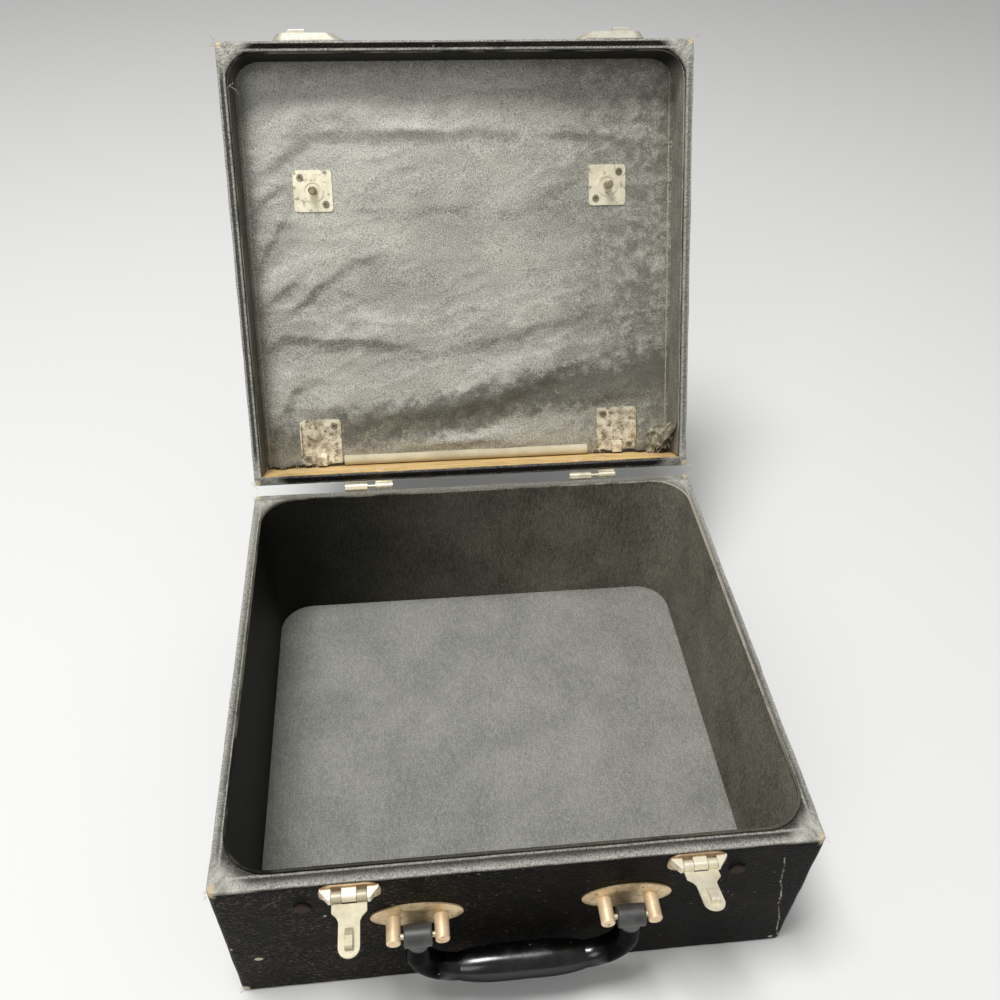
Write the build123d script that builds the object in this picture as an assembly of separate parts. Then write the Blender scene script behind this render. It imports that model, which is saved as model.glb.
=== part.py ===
from build123d import *
import math
import os

# Typewriter case: a deep wooden base and a shallow lid, both covered with leatherette and lined
# with cloth. Millimetres. X to the right, Y to the rear (hinge side), Z up. The origin is the
# centre of the underside. The lid is modelled closed and then turned open about the hinge pins.

# Whole case
CASE_WIDTH = 336.0
CASE_DEPTH = 312.0
BASE_HEIGHT = 124.0
LID_HEIGHT = 40.0
RIM_GAP = 0.6
LID_OPEN_ANGLE = 118.0

# Leatherette
COVER = 0.8
COVER_CORNER_RADIUS = 3.5
RIM_EDGE_RADIUS = 1.2
LID_TOP_EDGE_RADIUS = 2.0
UNDERSIDE_FOLD = 16.0

# Boards
BASE_SIDE_BOARD = 5.0
BASE_END_BOARD = 7.0
BOTTOM_BOARD = 5.0
LID_SIDE_BOARD = 4.4
LID_END_BOARD = 5.6
LID_TOP_BOARD = 5.0

# Linings
WALL_LINING = 1.6
FLOOR_LINING = 1.2
LIP_HEIGHT = 2.5
BASE_LINING_CORNER_RADIUS = 26.0
LID_LINING = 1.2
LID_LINING_SETBACK = 3.5
LID_LINING_CORNER_RADIUS = 20.0
BASE_CORNER_BLOCK = 21.32
LID_CORNER_BLOCK = 16.4

# Liner of the lid panel and the rolled strip along its lower edge
LINER = 2.2
FOLD_SIDE_INSET = 11.6
FOLD_FRONT_INSET = 12.4
FOLD_LENGTHS = (38.0, 36.0, 36.0, 28.0, 40.0, 26.0, 22.0, 16.0)
FITTING_SEAT_MARGIN = 1.0
FITTING_SEAT_DEPTH = 20.0
FOLD_RISES = (
    (1.2, 1.6, 3.0, 3.6, 2.4, 1.4, 2.6, 1.2),
    (2.0, 1.2, 2.2, 4.2, 3.2, 2.6, 3.4, 1.8),
    (2.8, 1.4, 1.2, 1.6, 2.0, 3.6, 4.2, 2.2),
    (1.8, 2.4, 1.2, 2.2, 1.4, 2.8, 3.6, 2.0),
    (1.2, 1.4, 1.8, 1.2, 1.2, 1.8, 2.2, 1.4),
)
PIPING_RADIUS = 4.0
PIPING_FROM_CLIPS = (1.5, 8.5)
PIPING_GAP = 0.6

# Slip-apart hinges at the rear
HINGE_FROM_SIDES = (86.0, 76.0)
HINGE_SETBACK = 4.0
HINGE_LEAF_WIDTH = 36.0
HINGE_LEAF_HEIGHT = 14.0
HINGE_LEAF = 1.0
HINGE_LEAF_START = 4.2
HINGE_LEAF_CORNER = 3.0
KNUCKLE_RADIUS = 2.75
HINGE_NECK_CORE = 1.925
HINGE_NECK_SHOULDER = 2.2
HINGE_PIN_TIP_ROUNDING = 0.6
BASE_KNUCKLE_LENGTH = 16.8
BASE_KNUCKLE_STANDOFF = 0.6
LID_KNUCKLE_LENGTH = 13.0
HINGE_PIN_RADIUS = 1.3
HINGE_PIN_OVERRUN = 0.8
HINGE_RIVET_SPACING = 18.0
HINGE_RIVET_DROP = 10.5

# Hasps on the front of the base, each swinging on its plate
HASP_FROM_SIDE = {"left": 73.7, "right": 72.7}
HASP_PIN_BELOW_RIM = 6.6
HASP_PIN_OUT = 4.6
HASP_REST_ANGLES = {"left": 0.0, "right": 22.0}
HASP_SHEET = 1.2
HASP_KNUCKLE_RADIUS = 2.9
HASP_PIN_RADIUS = 1.1
HASP_CENTRE_KNUCKLE = 7.6
HASP_SIDE_KNUCKLE = 5.2
HASP_KNUCKLE_GAP = 0.3
HASP_HEAD_WIDTH = 18.6
HASP_HEAD_END = 10.0
HASP_NECK_WIDTH = 11.2
HASP_HEAD_SHOULDER = 2.5
HASP_NECK_FLARE = 1.2
HASP_LENGTH = 31.3
STAPLE_WIDTH = 4.2
STAPLE_START = 15.9
STAPLE_END = 27.6
STAPLE_HEIGHT = 3.8
STAPLE_RISE_LENGTH = 5.5
STAPLE_BEND_LENGTH = 3.0
STAPLE_BEND_DEPTH = 1.14
STAPLE_TIP_BEVEL = 0.9
STAPLE_WINDOW_CENTRE = 25.0
STAPLE_WINDOW = 2.8
STAPLE_ROOF = 0.65
STAPLE_WINDOW_HEIGHT = 1.7
STAPLE_SLOT_GAP = 0.6
STAPLE_SWING_GAP = 0.9
HASP_PLATE_WIDTH = 33.0
HASP_PLATE_HEIGHT = 16.0
HASP_PLATE_DROP = 3.4
HASP_PLATE_SHEET = 1.0
HASP_PLATE_CORNER = 6.5
HASP_WING_WIDTH = 6.0
HASP_WING_FLAT = 1.5
HASP_WING_HALF_HEIGHT = 2.6
HASP_WING_END_OUT = 1.8
HASP_PIN_IN_WING = 2.2
HASP_RIVET_SPACING = 18.0
HASP_RIVET_DROP = 7.0

# Locks on the front of the lid, with a sliding button that draws the bolt outwards
LOCK_FROM_HASP = {"left": 10.3, "right": 12.5}
LOCK_WIDTH = 52.0
LOCK_HEIGHT = 26.0
LOCK_CENTRE_ABOVE_RIM = 14.0
LOCK_BACK_PLATE = 0.8
LOCK_COVER_HEIGHT = 5.8
LOCK_SHEET = 0.8
LOCK_INNER_TAPER = 9.0
LOCK_OUTER_TAPER = 3.6
LOCK_TALL_TAPER = 3.4
LOCK_LINING_SLOPE = 0.6
LOCK_BASE_CORNER = 9.0
LOCK_TOP_CORNER = 6.0
BUTTON_FROM_CENTRE = 9.5
BUTTON_LENGTH = 14.0
BUTTON_DEPTH = 9.0
BUTTON_HEIGHT = 3.3
BUTTON_EDGE_RADIUS = 0.8
BUTTON_INNER_SLOPE = 0.6
BUTTON_OUTER_SLOPE = 3.0
BUTTON_STEM = 4.6
BUTTON_STEM_DEPTH = 4.0
BOLT_TRAVEL = 5.5
BOLT_NOSE = 2.2
BOLT_NOSE_THICKNESS = 1.2
BOLT_NOSE_OVERRUN = 0.5
BOLT_SHOULDER = 0.4
BOLT_BODY_LENGTH = 15.0
BOLT_BODY_PAST_STEM = 0.2
BOLT_BODY_DEPTH = 8.4
LOCK_RUNNING_GAP = 0.3
SPRING_RADIUS = 1.3
SPRING_WIRE_RADIUS = 0.2
SPRING_TURNS = 6
SPRING_LENGTH = 8.5
SPRING_LUG = 0.8
SPRING_LUG_WIDTH = 4.8
LOCK_RIVET_PLACES = ((-18.0, 0.0), (-1.0, -8.4), (15.0, -8.4))

# Carrying handle
HANDLE_X = 59.6
HANDLE_PIN_BELOW_RIM = 43.1
HANDLE_PIN_OUT = 12.4
HANDLE_PIN_RADIUS = 1.5
HANDLE_PIN_IN_POST = 2.46
HANDLE_DROP = 45.0
POST_SPACING = 26.8
POST_RADIUS = 4.1
POST_END_ROUNDING = 1.0
POST_END_OUT = 16.4
POST_SHANK_RADIUS = 2.4
POST_WASHER_RADIUS = 5.5
POST_WASHER = 1.0
HANDLE_PLATE_WIDTH = 52.0
HANDLE_PLATE_HEIGHT = 25.0
HANDLE_PLATE_EDGE = 0.9
HANDLE_PLATE_DOME = 2.2
HANDLE_PLATE_SLOPE = 4.0
BARREL_LENGTH = 15.6
BARREL_RADIUS = 6.2
BARREL_ROUNDING = 1.0
ARM_TOP_RADIUS = 6.0
ARM_RADIUS = 7.6
ARM_BEND_RADIUS = 24.0
GRIP_RADIUS = 10.3
GRIP_END_RADIUS = 7.9
GRIP_SHOULDER_RADIUS = 9.8
GRIP_SWELL = 12.0
GRIP_END_OVERLAP = 1.0

# Studs and clips inside the lid
STUD_FROM_SIDE = 57.0
STUD_FROM_HINGE = 219.3
STUD_PLATE_WIDTH = 28.3
STUD_PLATE_HEIGHT = 29.6
FITTING_SHEET = 1.0
FITTING_CORNER = 2.5
STUD_RING_RADIUS = 8.0
STUD_RING_WIDTH = 2.0
STUD_RING_HEIGHT = 0.7
STUD_RADIUS = 2.9
STUD_HEIGHT = 10.0
STUD_TIP_ROUNDING = 1.0
STUD_WAIST_START = 2.0
STUD_WAIST_LENGTH = 1.4
STUD_WAIST_DEPTH = 0.6
STUD_SHANK_RADIUS = 1.8
STUD_SHANK_LENGTH = 6.0
CLIP_FROM_SIDE = 49.7
CLIP_FROM_HINGE = 30.0
CLIP_WIDTH = 31.6
CLIP_HEIGHT = 36.0
CLIP_FLANGE = 2.6
CLIP_FLANGE_INSET = 3.0
CLIP_TONGUE_WIDTH = 8.0
CLIP_TONGUE_LENGTH = 9.0
CLIP_TONGUE_SLOPE = 2.7
CLIP_TONGUE_RISE = 4.0
EYELET_RADIUS = 2.6
EYELET_BARREL_RADIUS = 1.7
EYELET_BORE_RADIUS = 1.1
EYELET_FLANGE = 0.6
EYELET_LENGTH = 6.0
EYELET_INSET = 5.2

# Rivets, nails and clearances
RIVET_SHANK_RADIUS = 1.4
RIVET_HEAD = 1.2
RIVET_HEAD_ROUNDING = 0.8
RIVET_TAIL = 0.8
HINGE_RIVET_RADII = (3.2, 4.4)
SMALL_RIVET_RADII = (2.2, 3.0)
FRONT_RIVET_RADII = (4.6, 4.4)
FRONT_RIVET_FROM_SIDE = 47.0
FRONT_RIVET_BELOW_RIM = 24.5
NAIL_RADIUS = 0.9
NAIL_HEAD_RADIUS = 1.5
NAIL_HEAD = 0.7
NAIL_LENGTH = 20.0
NAIL_FROM_CORNER = 4.2
BASE_NAIL_END_DISTANCE = 24.0
LID_NAIL_FROM_RIM = 9.0
LID_NAIL_SPACING = 17.0
FIT = 0.05
PIN_PLAY = 0.08

# Planes worked out from the sizes above
FRONT_FACE = -CASE_DEPTH / 2
REAR_FACE = CASE_DEPTH / 2
FLOOR_TOP = COVER + BOTTOM_BOARD
LID_RIM = BASE_HEIGHT + RIM_GAP
LID_TOP = LID_RIM + LID_HEIGHT
LID_PANEL = LID_TOP - COVER - LID_TOP_BOARD
LINER_FACE = LID_PANEL - LINER
HINGE_Y = REAR_FACE + HINGE_SETBACK
HINGE_Z = BASE_HEIGHT + RIM_GAP / 2
BASE_INSIDE_X = CASE_WIDTH / 2 - COVER - BASE_SIDE_BOARD
BASE_INSIDE_Y = CASE_DEPTH / 2 - COVER - BASE_END_BOARD
LID_INSIDE_X = CASE_WIDTH / 2 - COVER - LID_SIDE_BOARD
LID_INSIDE_Y = CASE_DEPTH / 2 - COVER - LID_END_BOARD
BASE_FRONT_THROUGH = COVER + BASE_END_BOARD
LID_LINING_LOW = LID_RIM + LID_LINING_SETBACK
BASE_NAIL_HEIGHTS = (BASE_NAIL_END_DISTANCE, BASE_HEIGHT / 2, BASE_HEIGHT - BASE_NAIL_END_DISTANCE)
LID_NAIL_HEIGHTS = (LID_RIM + LID_NAIL_FROM_RIM, LID_RIM + LID_NAIL_FROM_RIM + LID_NAIL_SPACING)
HINGE_CENTRES = (-CASE_WIDTH / 2 + HINGE_FROM_SIDES[0], CASE_WIDTH / 2 - HINGE_FROM_SIDES[1])
HASP_PIN_HEIGHT = BASE_HEIGHT - HASP_PIN_BELOW_RIM
HANDLE_PIN_HEIGHT = BASE_HEIGHT - HANDLE_PIN_BELOW_RIM
FRONT_RIVET_X = CASE_WIDTH / 2 - FRONT_RIVET_FROM_SIDE
FRONT_RIVET_Z = BASE_HEIGHT - FRONT_RIVET_BELOW_RIM
STUD_X = CASE_WIDTH / 2 - STUD_FROM_SIDE
CLIP_X = CASE_WIDTH / 2 - CLIP_FROM_SIDE
CLIP_INNER_X = CLIP_X - CLIP_WIDTH / 2
LOCK_Z = LID_RIM + LOCK_CENTRE_ABOVE_RIM
WINDOW_Z = HASP_PIN_HEIGHT + STAPLE_WINDOW_CENTRE
HASP_LEAF_OUT = HASP_KNUCKLE_RADIUS - HASP_SHEET
SIDES = {"left": -1, "right": 1}
NAMES = {side: name for name, side in SIDES.items()}
HASP_X = {name: CASE_WIDTH / 2 - HASP_FROM_SIDE[name] for name in SIDES}
LOCK_X = {name: HASP_X[name] + LOCK_FROM_HASP[name] for name in SIDES}
MANY = 1000.0


def block(x_range, y_range, z_range):
    """A box between two values on each axis, given in either order."""
    ranges = [sorted(pair) for pair in (x_range, y_range, z_range)]
    size = [high - low for low, high in ranges]
    middle = [(low + high) / 2 for low, high in ranges]
    return Pos(*middle) * Box(*size)


def rounded_block(half_x, half_y, radius, z_low, z_high):
    """A box centred on the Z axis, with rounded upright edges."""
    outline = RectangleRounded(2 * half_x, 2 * half_y, radius)
    return Pos(0, 0, z_low) * extrude(outline, amount=z_high - z_low)


def rod_x(x_range, y, z, radius):
    """A cylinder along X."""
    low, high = sorted(x_range)
    return Pos((low + high) / 2, y, z) * Rot(0, 90, 0) * Cylinder(radius, high - low)


def rod_y(y_range, x, z, radius):
    """A cylinder along Y."""
    low, high = sorted(y_range)
    return Pos(x, (low + high) / 2, z) * Rot(90, 0, 0) * Cylinder(radius, high - low)


def rod_z(z_range, x, y, radius):
    """A cylinder along Z."""
    low, high = sorted(z_range)
    return Pos(x, y, (low + high) / 2) * Cylinder(radius, high - low)


def joined(shapes):
    """One shape from several overlapping ones."""
    result = shapes[0]
    for shape in shapes[1:]:
        result = result + shape
    return result


def without(shape, cutters):
    """The shape with every cutter taken out of it."""
    for cutter in cutters:
        shape = shape - cutter
    return shape


def grouped(shapes):
    """Several separate solids as one node."""
    return Compound(children=list(shapes))


def opened(shape):
    """A piece of the closed lid, turned to the open lid."""
    turn = Pos(0, HINGE_Y, HINGE_Z) * Rot(-LID_OPEN_ANGLE, 0, 0) * Pos(0, -HINGE_Y, -HINGE_Z)
    return turn * shape


def rivet_head(outward, x, face_y, z, radius, play):
    """A domed head on a face, or the plain room that it needs."""
    head = rod_y((face_y, face_y + outward * RIVET_HEAD), x, z, radius + play)
    if play > 0.0:
        return head
    tip = head.edges().sort_by(Axis.Y)[-1 if outward > 0 else 0]
    return fillet(tip, RIVET_HEAD_ROUNDING)


def sunk_rivets(places, outward, face_out, wall, radii, play=0.0):
    """Rivets along Y whose hammered tails are sunk in the far side of a wall.

    outward is -1 for a front wall and 1 for a rear wall. A face lies face_out beyond the case.
    With play they are the holes that the rivets need.
    """
    head_radius, tail_radius = radii
    face_y = outward * (CASE_DEPTH / 2 + face_out)
    far_y = outward * (CASE_DEPTH / 2 - wall)
    tail_start = far_y + outward * RIVET_TAIL
    rivets = []
    for x, z in places:
        head = rivet_head(outward, x, face_y, z, head_radius, play)
        shank = rod_y((face_y, tail_start), x, z, RIVET_SHANK_RADIUS + play)
        tail = rod_y((tail_start, far_y), x, z, tail_radius + play)
        rivets.append(joined([head, shank, tail]))
    return rivets


def proud_rivets(places, outward, face_out, wall, radii, play=0.0):
    """Rivets whose hammered tails stand on the far side of a wall."""
    head_radius, tail_radius = radii
    face_y = outward * (CASE_DEPTH / 2 + face_out)
    far_y = outward * (CASE_DEPTH / 2 - wall)
    rivets = []
    for x, z in places:
        head = rivet_head(outward, x, face_y, z, head_radius, play)
        shank = rod_y((face_y, far_y), x, z, RIVET_SHANK_RADIUS + play)
        tail = rod_y((far_y, far_y - outward * RIVET_TAIL), x, z, tail_radius)
        rivets.append(joined([head, shank, tail]))
    return rivets


def corner_nail(side, end, z, play=0.0):
    """A nail through a side board into the end of a front or rear board."""
    outer_x = side * (CASE_WIDTH / 2 - COVER)
    y = end * (CASE_DEPTH / 2 - COVER - NAIL_FROM_CORNER)
    head = rod_x((outer_x, outer_x - side * NAIL_HEAD), y, z, NAIL_HEAD_RADIUS + play)
    shank = rod_x((outer_x, outer_x - side * NAIL_LENGTH), y, z, NAIL_RADIUS + play)
    return head + shank


# Base


def corner_nails(heights, play=0.0):
    """The nails of all four corners."""
    nails = []
    for side in (-1, 1):
        for end in (-1, 1):
            for z in heights:
                nails.append(corner_nail(side, end, z, play))
    return nails


def board_space(z_low, z_high):
    """The room that the boards fill inside the leatherette."""
    half_x = CASE_WIDTH / 2 - COVER
    half_y = CASE_DEPTH / 2 - COVER
    return rounded_block(half_x, half_y, COVER_CORNER_RADIUS - COVER, z_low, z_high)


def wall_boards(inside_x, inside_y, z_low, z_high):
    """Left, right, front and rear boards: the side boards run the full depth."""
    space = board_space(z_low, z_high)
    outer_x = CASE_WIDTH / 2
    outer_y = CASE_DEPTH / 2 - COVER
    levels = (z_low, z_high)
    left = block((-outer_x, -inside_x), (-outer_y, outer_y), levels) & space
    right = block((inside_x, outer_x), (-outer_y, outer_y), levels) & space
    front = block((-inside_x, inside_x), (-outer_y, -inside_y), levels)
    rear = block((-inside_x, inside_x), (inside_y, outer_y), levels)
    return left, right, front, rear


def corner_blocks(inside_x, inside_y, radius, reach, levels, ends):
    """Glue blocks behind the rounded corners of a lining, hollowed to its radius."""
    z_low, z_high = levels
    blocks = []
    for side in (-1, 1):
        for end in ends:
            corner_x = side * inside_x
            corner_y = end * inside_y
            x_range = (corner_x, corner_x - side * reach)
            y_range = (corner_y, corner_y - end * reach)
            body = block(x_range, y_range, levels)
            hollow_x = corner_x - side * radius
            hollow_y = corner_y - end * radius
            blocks.append(body - rod_z((z_low - 1, z_high + 1), hollow_x, hollow_y, radius))
    return blocks


def base_covering(cutters):
    """Leatherette round the four walls, turned over the rim and under the bottom."""
    shell = rounded_block(CASE_WIDTH / 2, CASE_DEPTH / 2, COVER_CORNER_RADIUS, 0, BASE_HEIGHT)
    shell = fillet(shell.edges().group_by(Axis.Z)[-1], RIM_EDGE_RADIUS)
    shell = shell - board_space(COVER, BASE_HEIGHT - COVER)
    mouth = rounded_block(
        BASE_INSIDE_X, BASE_INSIDE_Y, BASE_LINING_CORNER_RADIUS, BASE_HEIGHT - 2 * COVER, BASE_HEIGHT + 1
    )
    under_x = CASE_WIDTH / 2 - UNDERSIDE_FOLD
    under_y = CASE_DEPTH / 2 - UNDERSIDE_FOLD
    under = rounded_block(under_x, under_y, COVER_CORNER_RADIUS, -1, 2 * COVER)
    return without(shell, [mouth, under] + cutters)


def base_underside_sheet():
    """The sheet that covers the bottom between the turned edges."""
    half_x = CASE_WIDTH / 2 - UNDERSIDE_FOLD
    half_y = CASE_DEPTH / 2 - UNDERSIDE_FOLD
    return rounded_block(half_x, half_y, COVER_CORNER_RADIUS, 0, COVER)


def base_wall_lining():
    """The cloth-covered card lining: it stands proud of the rim as a lip that enters the lid."""
    top = BASE_HEIGHT + LIP_HEIGHT
    outer = rounded_block(BASE_INSIDE_X, BASE_INSIDE_Y, BASE_LINING_CORNER_RADIUS, FLOOR_TOP, top)
    inner = rounded_block(
        BASE_INSIDE_X - WALL_LINING,
        BASE_INSIDE_Y - WALL_LINING,
        BASE_LINING_CORNER_RADIUS - WALL_LINING,
        FLOOR_TOP - 1,
        top + 1,
    )
    return outer - inner


def base_floor_lining():
    """The cloth on the floor, inside the wall lining."""
    return rounded_block(
        BASE_INSIDE_X - WALL_LINING,
        BASE_INSIDE_Y - WALL_LINING,
        BASE_LINING_CORNER_RADIUS - WALL_LINING,
        FLOOR_TOP,
        FLOOR_TOP + FLOOR_LINING,
    )


# Lid, modelled closed


def lid_outline(inset, z_low, z_high):
    """The room inside the lid's walls: rounded corners at the front, square ones at the hinge side."""
    half_x = LID_INSIDE_X - inset
    half_y = LID_INSIDE_Y - inset
    front = rounded_block(half_x, half_y, LID_LINING_CORNER_RADIUS - inset, z_low, z_high)
    rear = block((-half_x, half_x), (0, LID_INSIDE_Y), (z_low, z_high))
    return front + rear


def lid_covering(cutters):
    """Leatherette over the lid's top and walls, turned over the rim."""
    shell = rounded_block(CASE_WIDTH / 2, CASE_DEPTH / 2, COVER_CORNER_RADIUS, LID_RIM, LID_TOP)
    shell = fillet(shell.edges().group_by(Axis.Z)[-1], LID_TOP_EDGE_RADIUS)
    shell = fillet(shell.edges().group_by(Axis.Z)[0], RIM_EDGE_RADIUS)
    shell = shell - board_space(LID_RIM + COVER, LID_TOP - COVER)
    mouth = lid_outline(0, LID_RIM - 1, LID_RIM + 2 * COVER)
    return without(shell, [mouth] + cutters)


def lid_wall_lining():
    """Cloth on the left, front and right walls. The wall at the hinges is bare wood."""
    outer = lid_outline(0, LID_LINING_LOW, LID_PANEL)
    inner = lid_outline(LID_LINING, LID_LINING_LOW - 1, LID_PANEL + 1)
    return outer - inner


def fold_stations():
    """The X values of the sections through the liner's folds."""
    half = LID_INSIDE_X - LID_LINING - FOLD_SIDE_INSET
    return [-half, -half / 2, 0, half / 2, half]


def fold_valleys():
    """The Y values between the liner's folds, from the hinge side to the front wall."""
    front_valley = -(LID_INSIDE_Y - LID_LINING - FOLD_FRONT_INSET)
    valleys = [front_valley]
    for length in reversed(FOLD_LENGTHS):
        valleys.append(valleys[-1] + length)
    return valleys[::-1]


def fold_section(x, rises):
    """One upright section through the liner's folds: a chain of arcs over a straight back."""
    valleys = fold_valleys()
    back = LINER_FACE + LINER / 2
    lines = []
    for start, end, rise in zip(valleys, valleys[1:], rises):
        crest = (x, (start + end) / 2, LINER_FACE - rise)
        lines.append(ThreePointArc((x, start, LINER_FACE), crest, (x, end, LINER_FACE)))
    lines.append(Line((x, valleys[-1], LINER_FACE), (x, valleys[-1], back)))
    lines.append(Line((x, valleys[-1], back), (x, valleys[0], back)))
    lines.append(Line((x, valleys[0], back), (x, valleys[0], LINER_FACE)))
    return Face(Wire(lines))


def lid_liner(cutters):
    """The cloth liner of the lid's panel, with its main folds and flat seats for the fittings."""
    sheet = lid_outline(LID_LINING, LINER_FACE, LID_PANEL)
    sections = [fold_section(x, rises) for x, rises in zip(fold_stations(), FOLD_RISES)]
    folds = Solid(loft(sections, ruled=True).solids()[0].wrapped)
    seats = []
    for side in (-1, 1):
        for centre_x, from_hinge, width, height in (
            (STUD_X, STUD_FROM_HINGE, STUD_PLATE_WIDTH, STUD_PLATE_HEIGHT),
            (CLIP_X, CLIP_FROM_HINGE, CLIP_WIDTH, CLIP_HEIGHT),
        ):
            x = side * centre_x
            y = HINGE_Y - from_hinge
            half_x = width / 2 + FITTING_SEAT_MARGIN
            half_y = height / 2 + FITTING_SEAT_MARGIN
            levels = (LINER_FACE - FITTING_SEAT_DEPTH, LINER_FACE)
            seats.append(block((x - half_x, x + half_x), (y - half_y, y + half_y), levels))
    return without(sheet + without(folds, seats), cutters)


def lid_liner_piping():
    """The liner's lower edge, rolled into a half-round strip between the two clips."""
    y = LID_INSIDE_Y - PIPING_RADIUS - PIPING_GAP
    span = (-CLIP_INNER_X + PIPING_FROM_CLIPS[0], CLIP_INNER_X - PIPING_FROM_CLIPS[1])
    roll = rod_x(span, y, LINER_FACE, PIPING_RADIUS)
    below = block((-MANY, MANY), (-MANY, MANY), (LINER_FACE - MANY, LINER_FACE))
    return roll & below


# Hinges


def hinge_spans(centre):
    """The stretches of one hinge along X: whole leaf, base knuckle and lid knuckle."""
    low = centre - HINGE_LEAF_WIDTH / 2
    high = centre + HINGE_LEAF_WIDTH / 2
    return (low, high), (low, low + BASE_KNUCKLE_LENGTH), (high - LID_KNUCKLE_LENGTH, high)


def hinge_leaf(centre, up):
    """A leaf outside a rear wall with one rolled knuckle. up is 1 on the lid, -1 on the base."""
    whole, base_knuckle, lid_knuckle = hinge_spans(centre)
    own = lid_knuckle if up > 0 else base_knuckle
    near = HINGE_Z + up * HINGE_LEAF_START
    far = HINGE_Z + up * (HINGE_LEAF_START + HINGE_LEAF_HEIGHT)
    plate = block(whole, (REAR_FACE, REAR_FACE + HINGE_LEAF), (near, far))
    corners = [edge for edge in plate.edges().filter_by(Axis.Y) if abs(edge.center().Z - far) < 0.1]
    plate = fillet(corners, HINGE_LEAF_CORNER)
    knuckle = rod_x(own, HINGE_Y, HINGE_Z, KNUCKLE_RADIUS)
    play = PIN_PLAY if up > 0 else 0.0
    bore = rod_x((own[0] - 1, own[1] + 1), HINGE_Y, HINGE_Z, HINGE_PIN_RADIUS + play)
    return joined([plate, hinge_neck(own, up), knuckle]) - bore


def hinge_neck(span, up):
    """The strip that joins a leaf to its knuckle. It stays inside the path of the lid's edge."""
    reach = HINGE_SETBACK - (BASE_KNUCKLE_STANDOFF if up < 0 else 0.0)
    foot = up * (HINGE_LEAF_START + HINGE_LEAF)
    core = HINGE_NECK_CORE
    outer = HINGE_LEAF - reach
    points = [(-reach, foot), (outer, foot), (outer, up * core), (0, up * core)]
    if up < 0:
        points += [(0, core), (-core, HINGE_NECK_SHOULDER), (-reach, RIM_GAP / 2)]
    else:
        points += [(0, HINGE_PIN_RADIUS), (-reach, HINGE_PIN_RADIUS)]
    outline = Plane.YZ * make_face(Polyline(points, close=True))
    return Pos(span[0], HINGE_Y, HINGE_Z) * extrude(outline, amount=span[1] - span[0])


def hinge_rivet_places(up):
    """Where the rivets of the two hinges go through a rear wall."""
    places = []
    for centre in HINGE_CENTRES:
        for offset in (-HINGE_RIVET_SPACING / 2, HINGE_RIVET_SPACING / 2):
            places.append((centre + offset, HINGE_Z + up * HINGE_RIVET_DROP))
    return places


def hinge_base_rivets(play=0.0):
    """The rivets of the two base leaves, sunk flush inside the base."""
    wall = COVER + BASE_END_BOARD
    return sunk_rivets(hinge_rivet_places(-1), 1, HINGE_LEAF, wall, HINGE_RIVET_RADII, play)


def hinge_lid_rivets(play=0.0):
    """The rivets of the two lid leaves, hammered over on the bare inside of the lid's rear board."""
    wall = COVER + LID_END_BOARD
    return proud_rivets(hinge_rivet_places(1), 1, HINGE_LEAF, wall, HINGE_RIVET_RADII, play)


def hinge_pin(centre):
    """The pin: fast in the base knuckle, free in the lid knuckle, bare between them."""
    base_knuckle, lid_knuckle = hinge_spans(centre)[1:]
    span = (base_knuckle[0], lid_knuckle[1] + HINGE_PIN_OVERRUN)
    pin = rod_x(span, HINGE_Y, HINGE_Z, HINGE_PIN_RADIUS)
    tip = pin.edges().sort_by(Axis.X)[-1]
    return fillet(tip, HINGE_PIN_TIP_ROUNDING)


# Hasps, modelled pointing straight up as when the case is shut, then turned down to their rest


def front(out):
    """The Y value of a point that stands a distance out from the front face."""
    return FRONT_FACE - out


def hasp_x(side):
    """The X value of a hasp's middle."""
    return side * HASP_X[NAMES[side]]


def hasp_plate(side, cutters):
    """The plate on the front of the base, with the centre knuckle and two wings that hold the pin."""
    x = hasp_x(side)
    z = HASP_PIN_HEIGHT - HASP_PLATE_DROP
    outline = RectangleRounded(HASP_PLATE_WIDTH, HASP_PLATE_HEIGHT, HASP_PLATE_CORNER)
    sheet = extrude(outline, amount=HASP_PLATE_SHEET)
    sheet = Pos(x, front(HASP_PLATE_SHEET), z) * Rot(-90, 0, 0) * sheet
    half = HASP_CENTRE_KNUCKLE / 2
    sunk = front(HASP_PLATE_SHEET / 2)
    centre = rod_x((x - half, x + half), front(HASP_PIN_OUT), HASP_PIN_HEIGHT, HASP_KNUCKLE_RADIUS)
    stalk_levels = (HASP_PIN_HEIGHT, HASP_PIN_HEIGHT + HASP_KNUCKLE_RADIUS)
    stalk = block((x - half, x + half), (sunk, front(HASP_PIN_OUT)), stalk_levels)
    wings = [hasp_wing(x, way, sunk) for way in (-1, 1)]
    bore_span = (x - HASP_PLATE_WIDTH, x + HASP_PLATE_WIDTH)
    bore = rod_x(bore_span, front(HASP_PIN_OUT), HASP_PIN_HEIGHT, HASP_PIN_RADIUS)
    return without(joined([sheet, centre, stalk] + wings), [bore] + cutters)


def hasp_wing(x, way, sunk):
    """A lug at one end of the knuckles, sloping down to the plate at its outer end."""
    near = x + way * hasp_wing_start()
    far = near + way * HASP_WING_WIDTH
    top = HASP_PIN_OUT + HASP_WING_HALF_HEIGHT
    points = [
        (near, sunk),
        (near, front(top)),
        (near + way * HASP_WING_FLAT, front(top)),
        (far, front(HASP_WING_END_OUT)),
        (far, sunk),
    ]
    outline = make_face(Polyline(points, close=True))
    return Pos(0, 0, HASP_PIN_HEIGHT) * extrude(outline, amount=HASP_WING_HALF_HEIGHT, both=True)


def hasp_wing_start():
    """The distance from the middle of a hasp to its plate's lugs."""
    return HASP_CENTRE_KNUCKLE / 2 + 2 * HASP_KNUCKLE_GAP + HASP_SIDE_KNUCKLE


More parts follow.
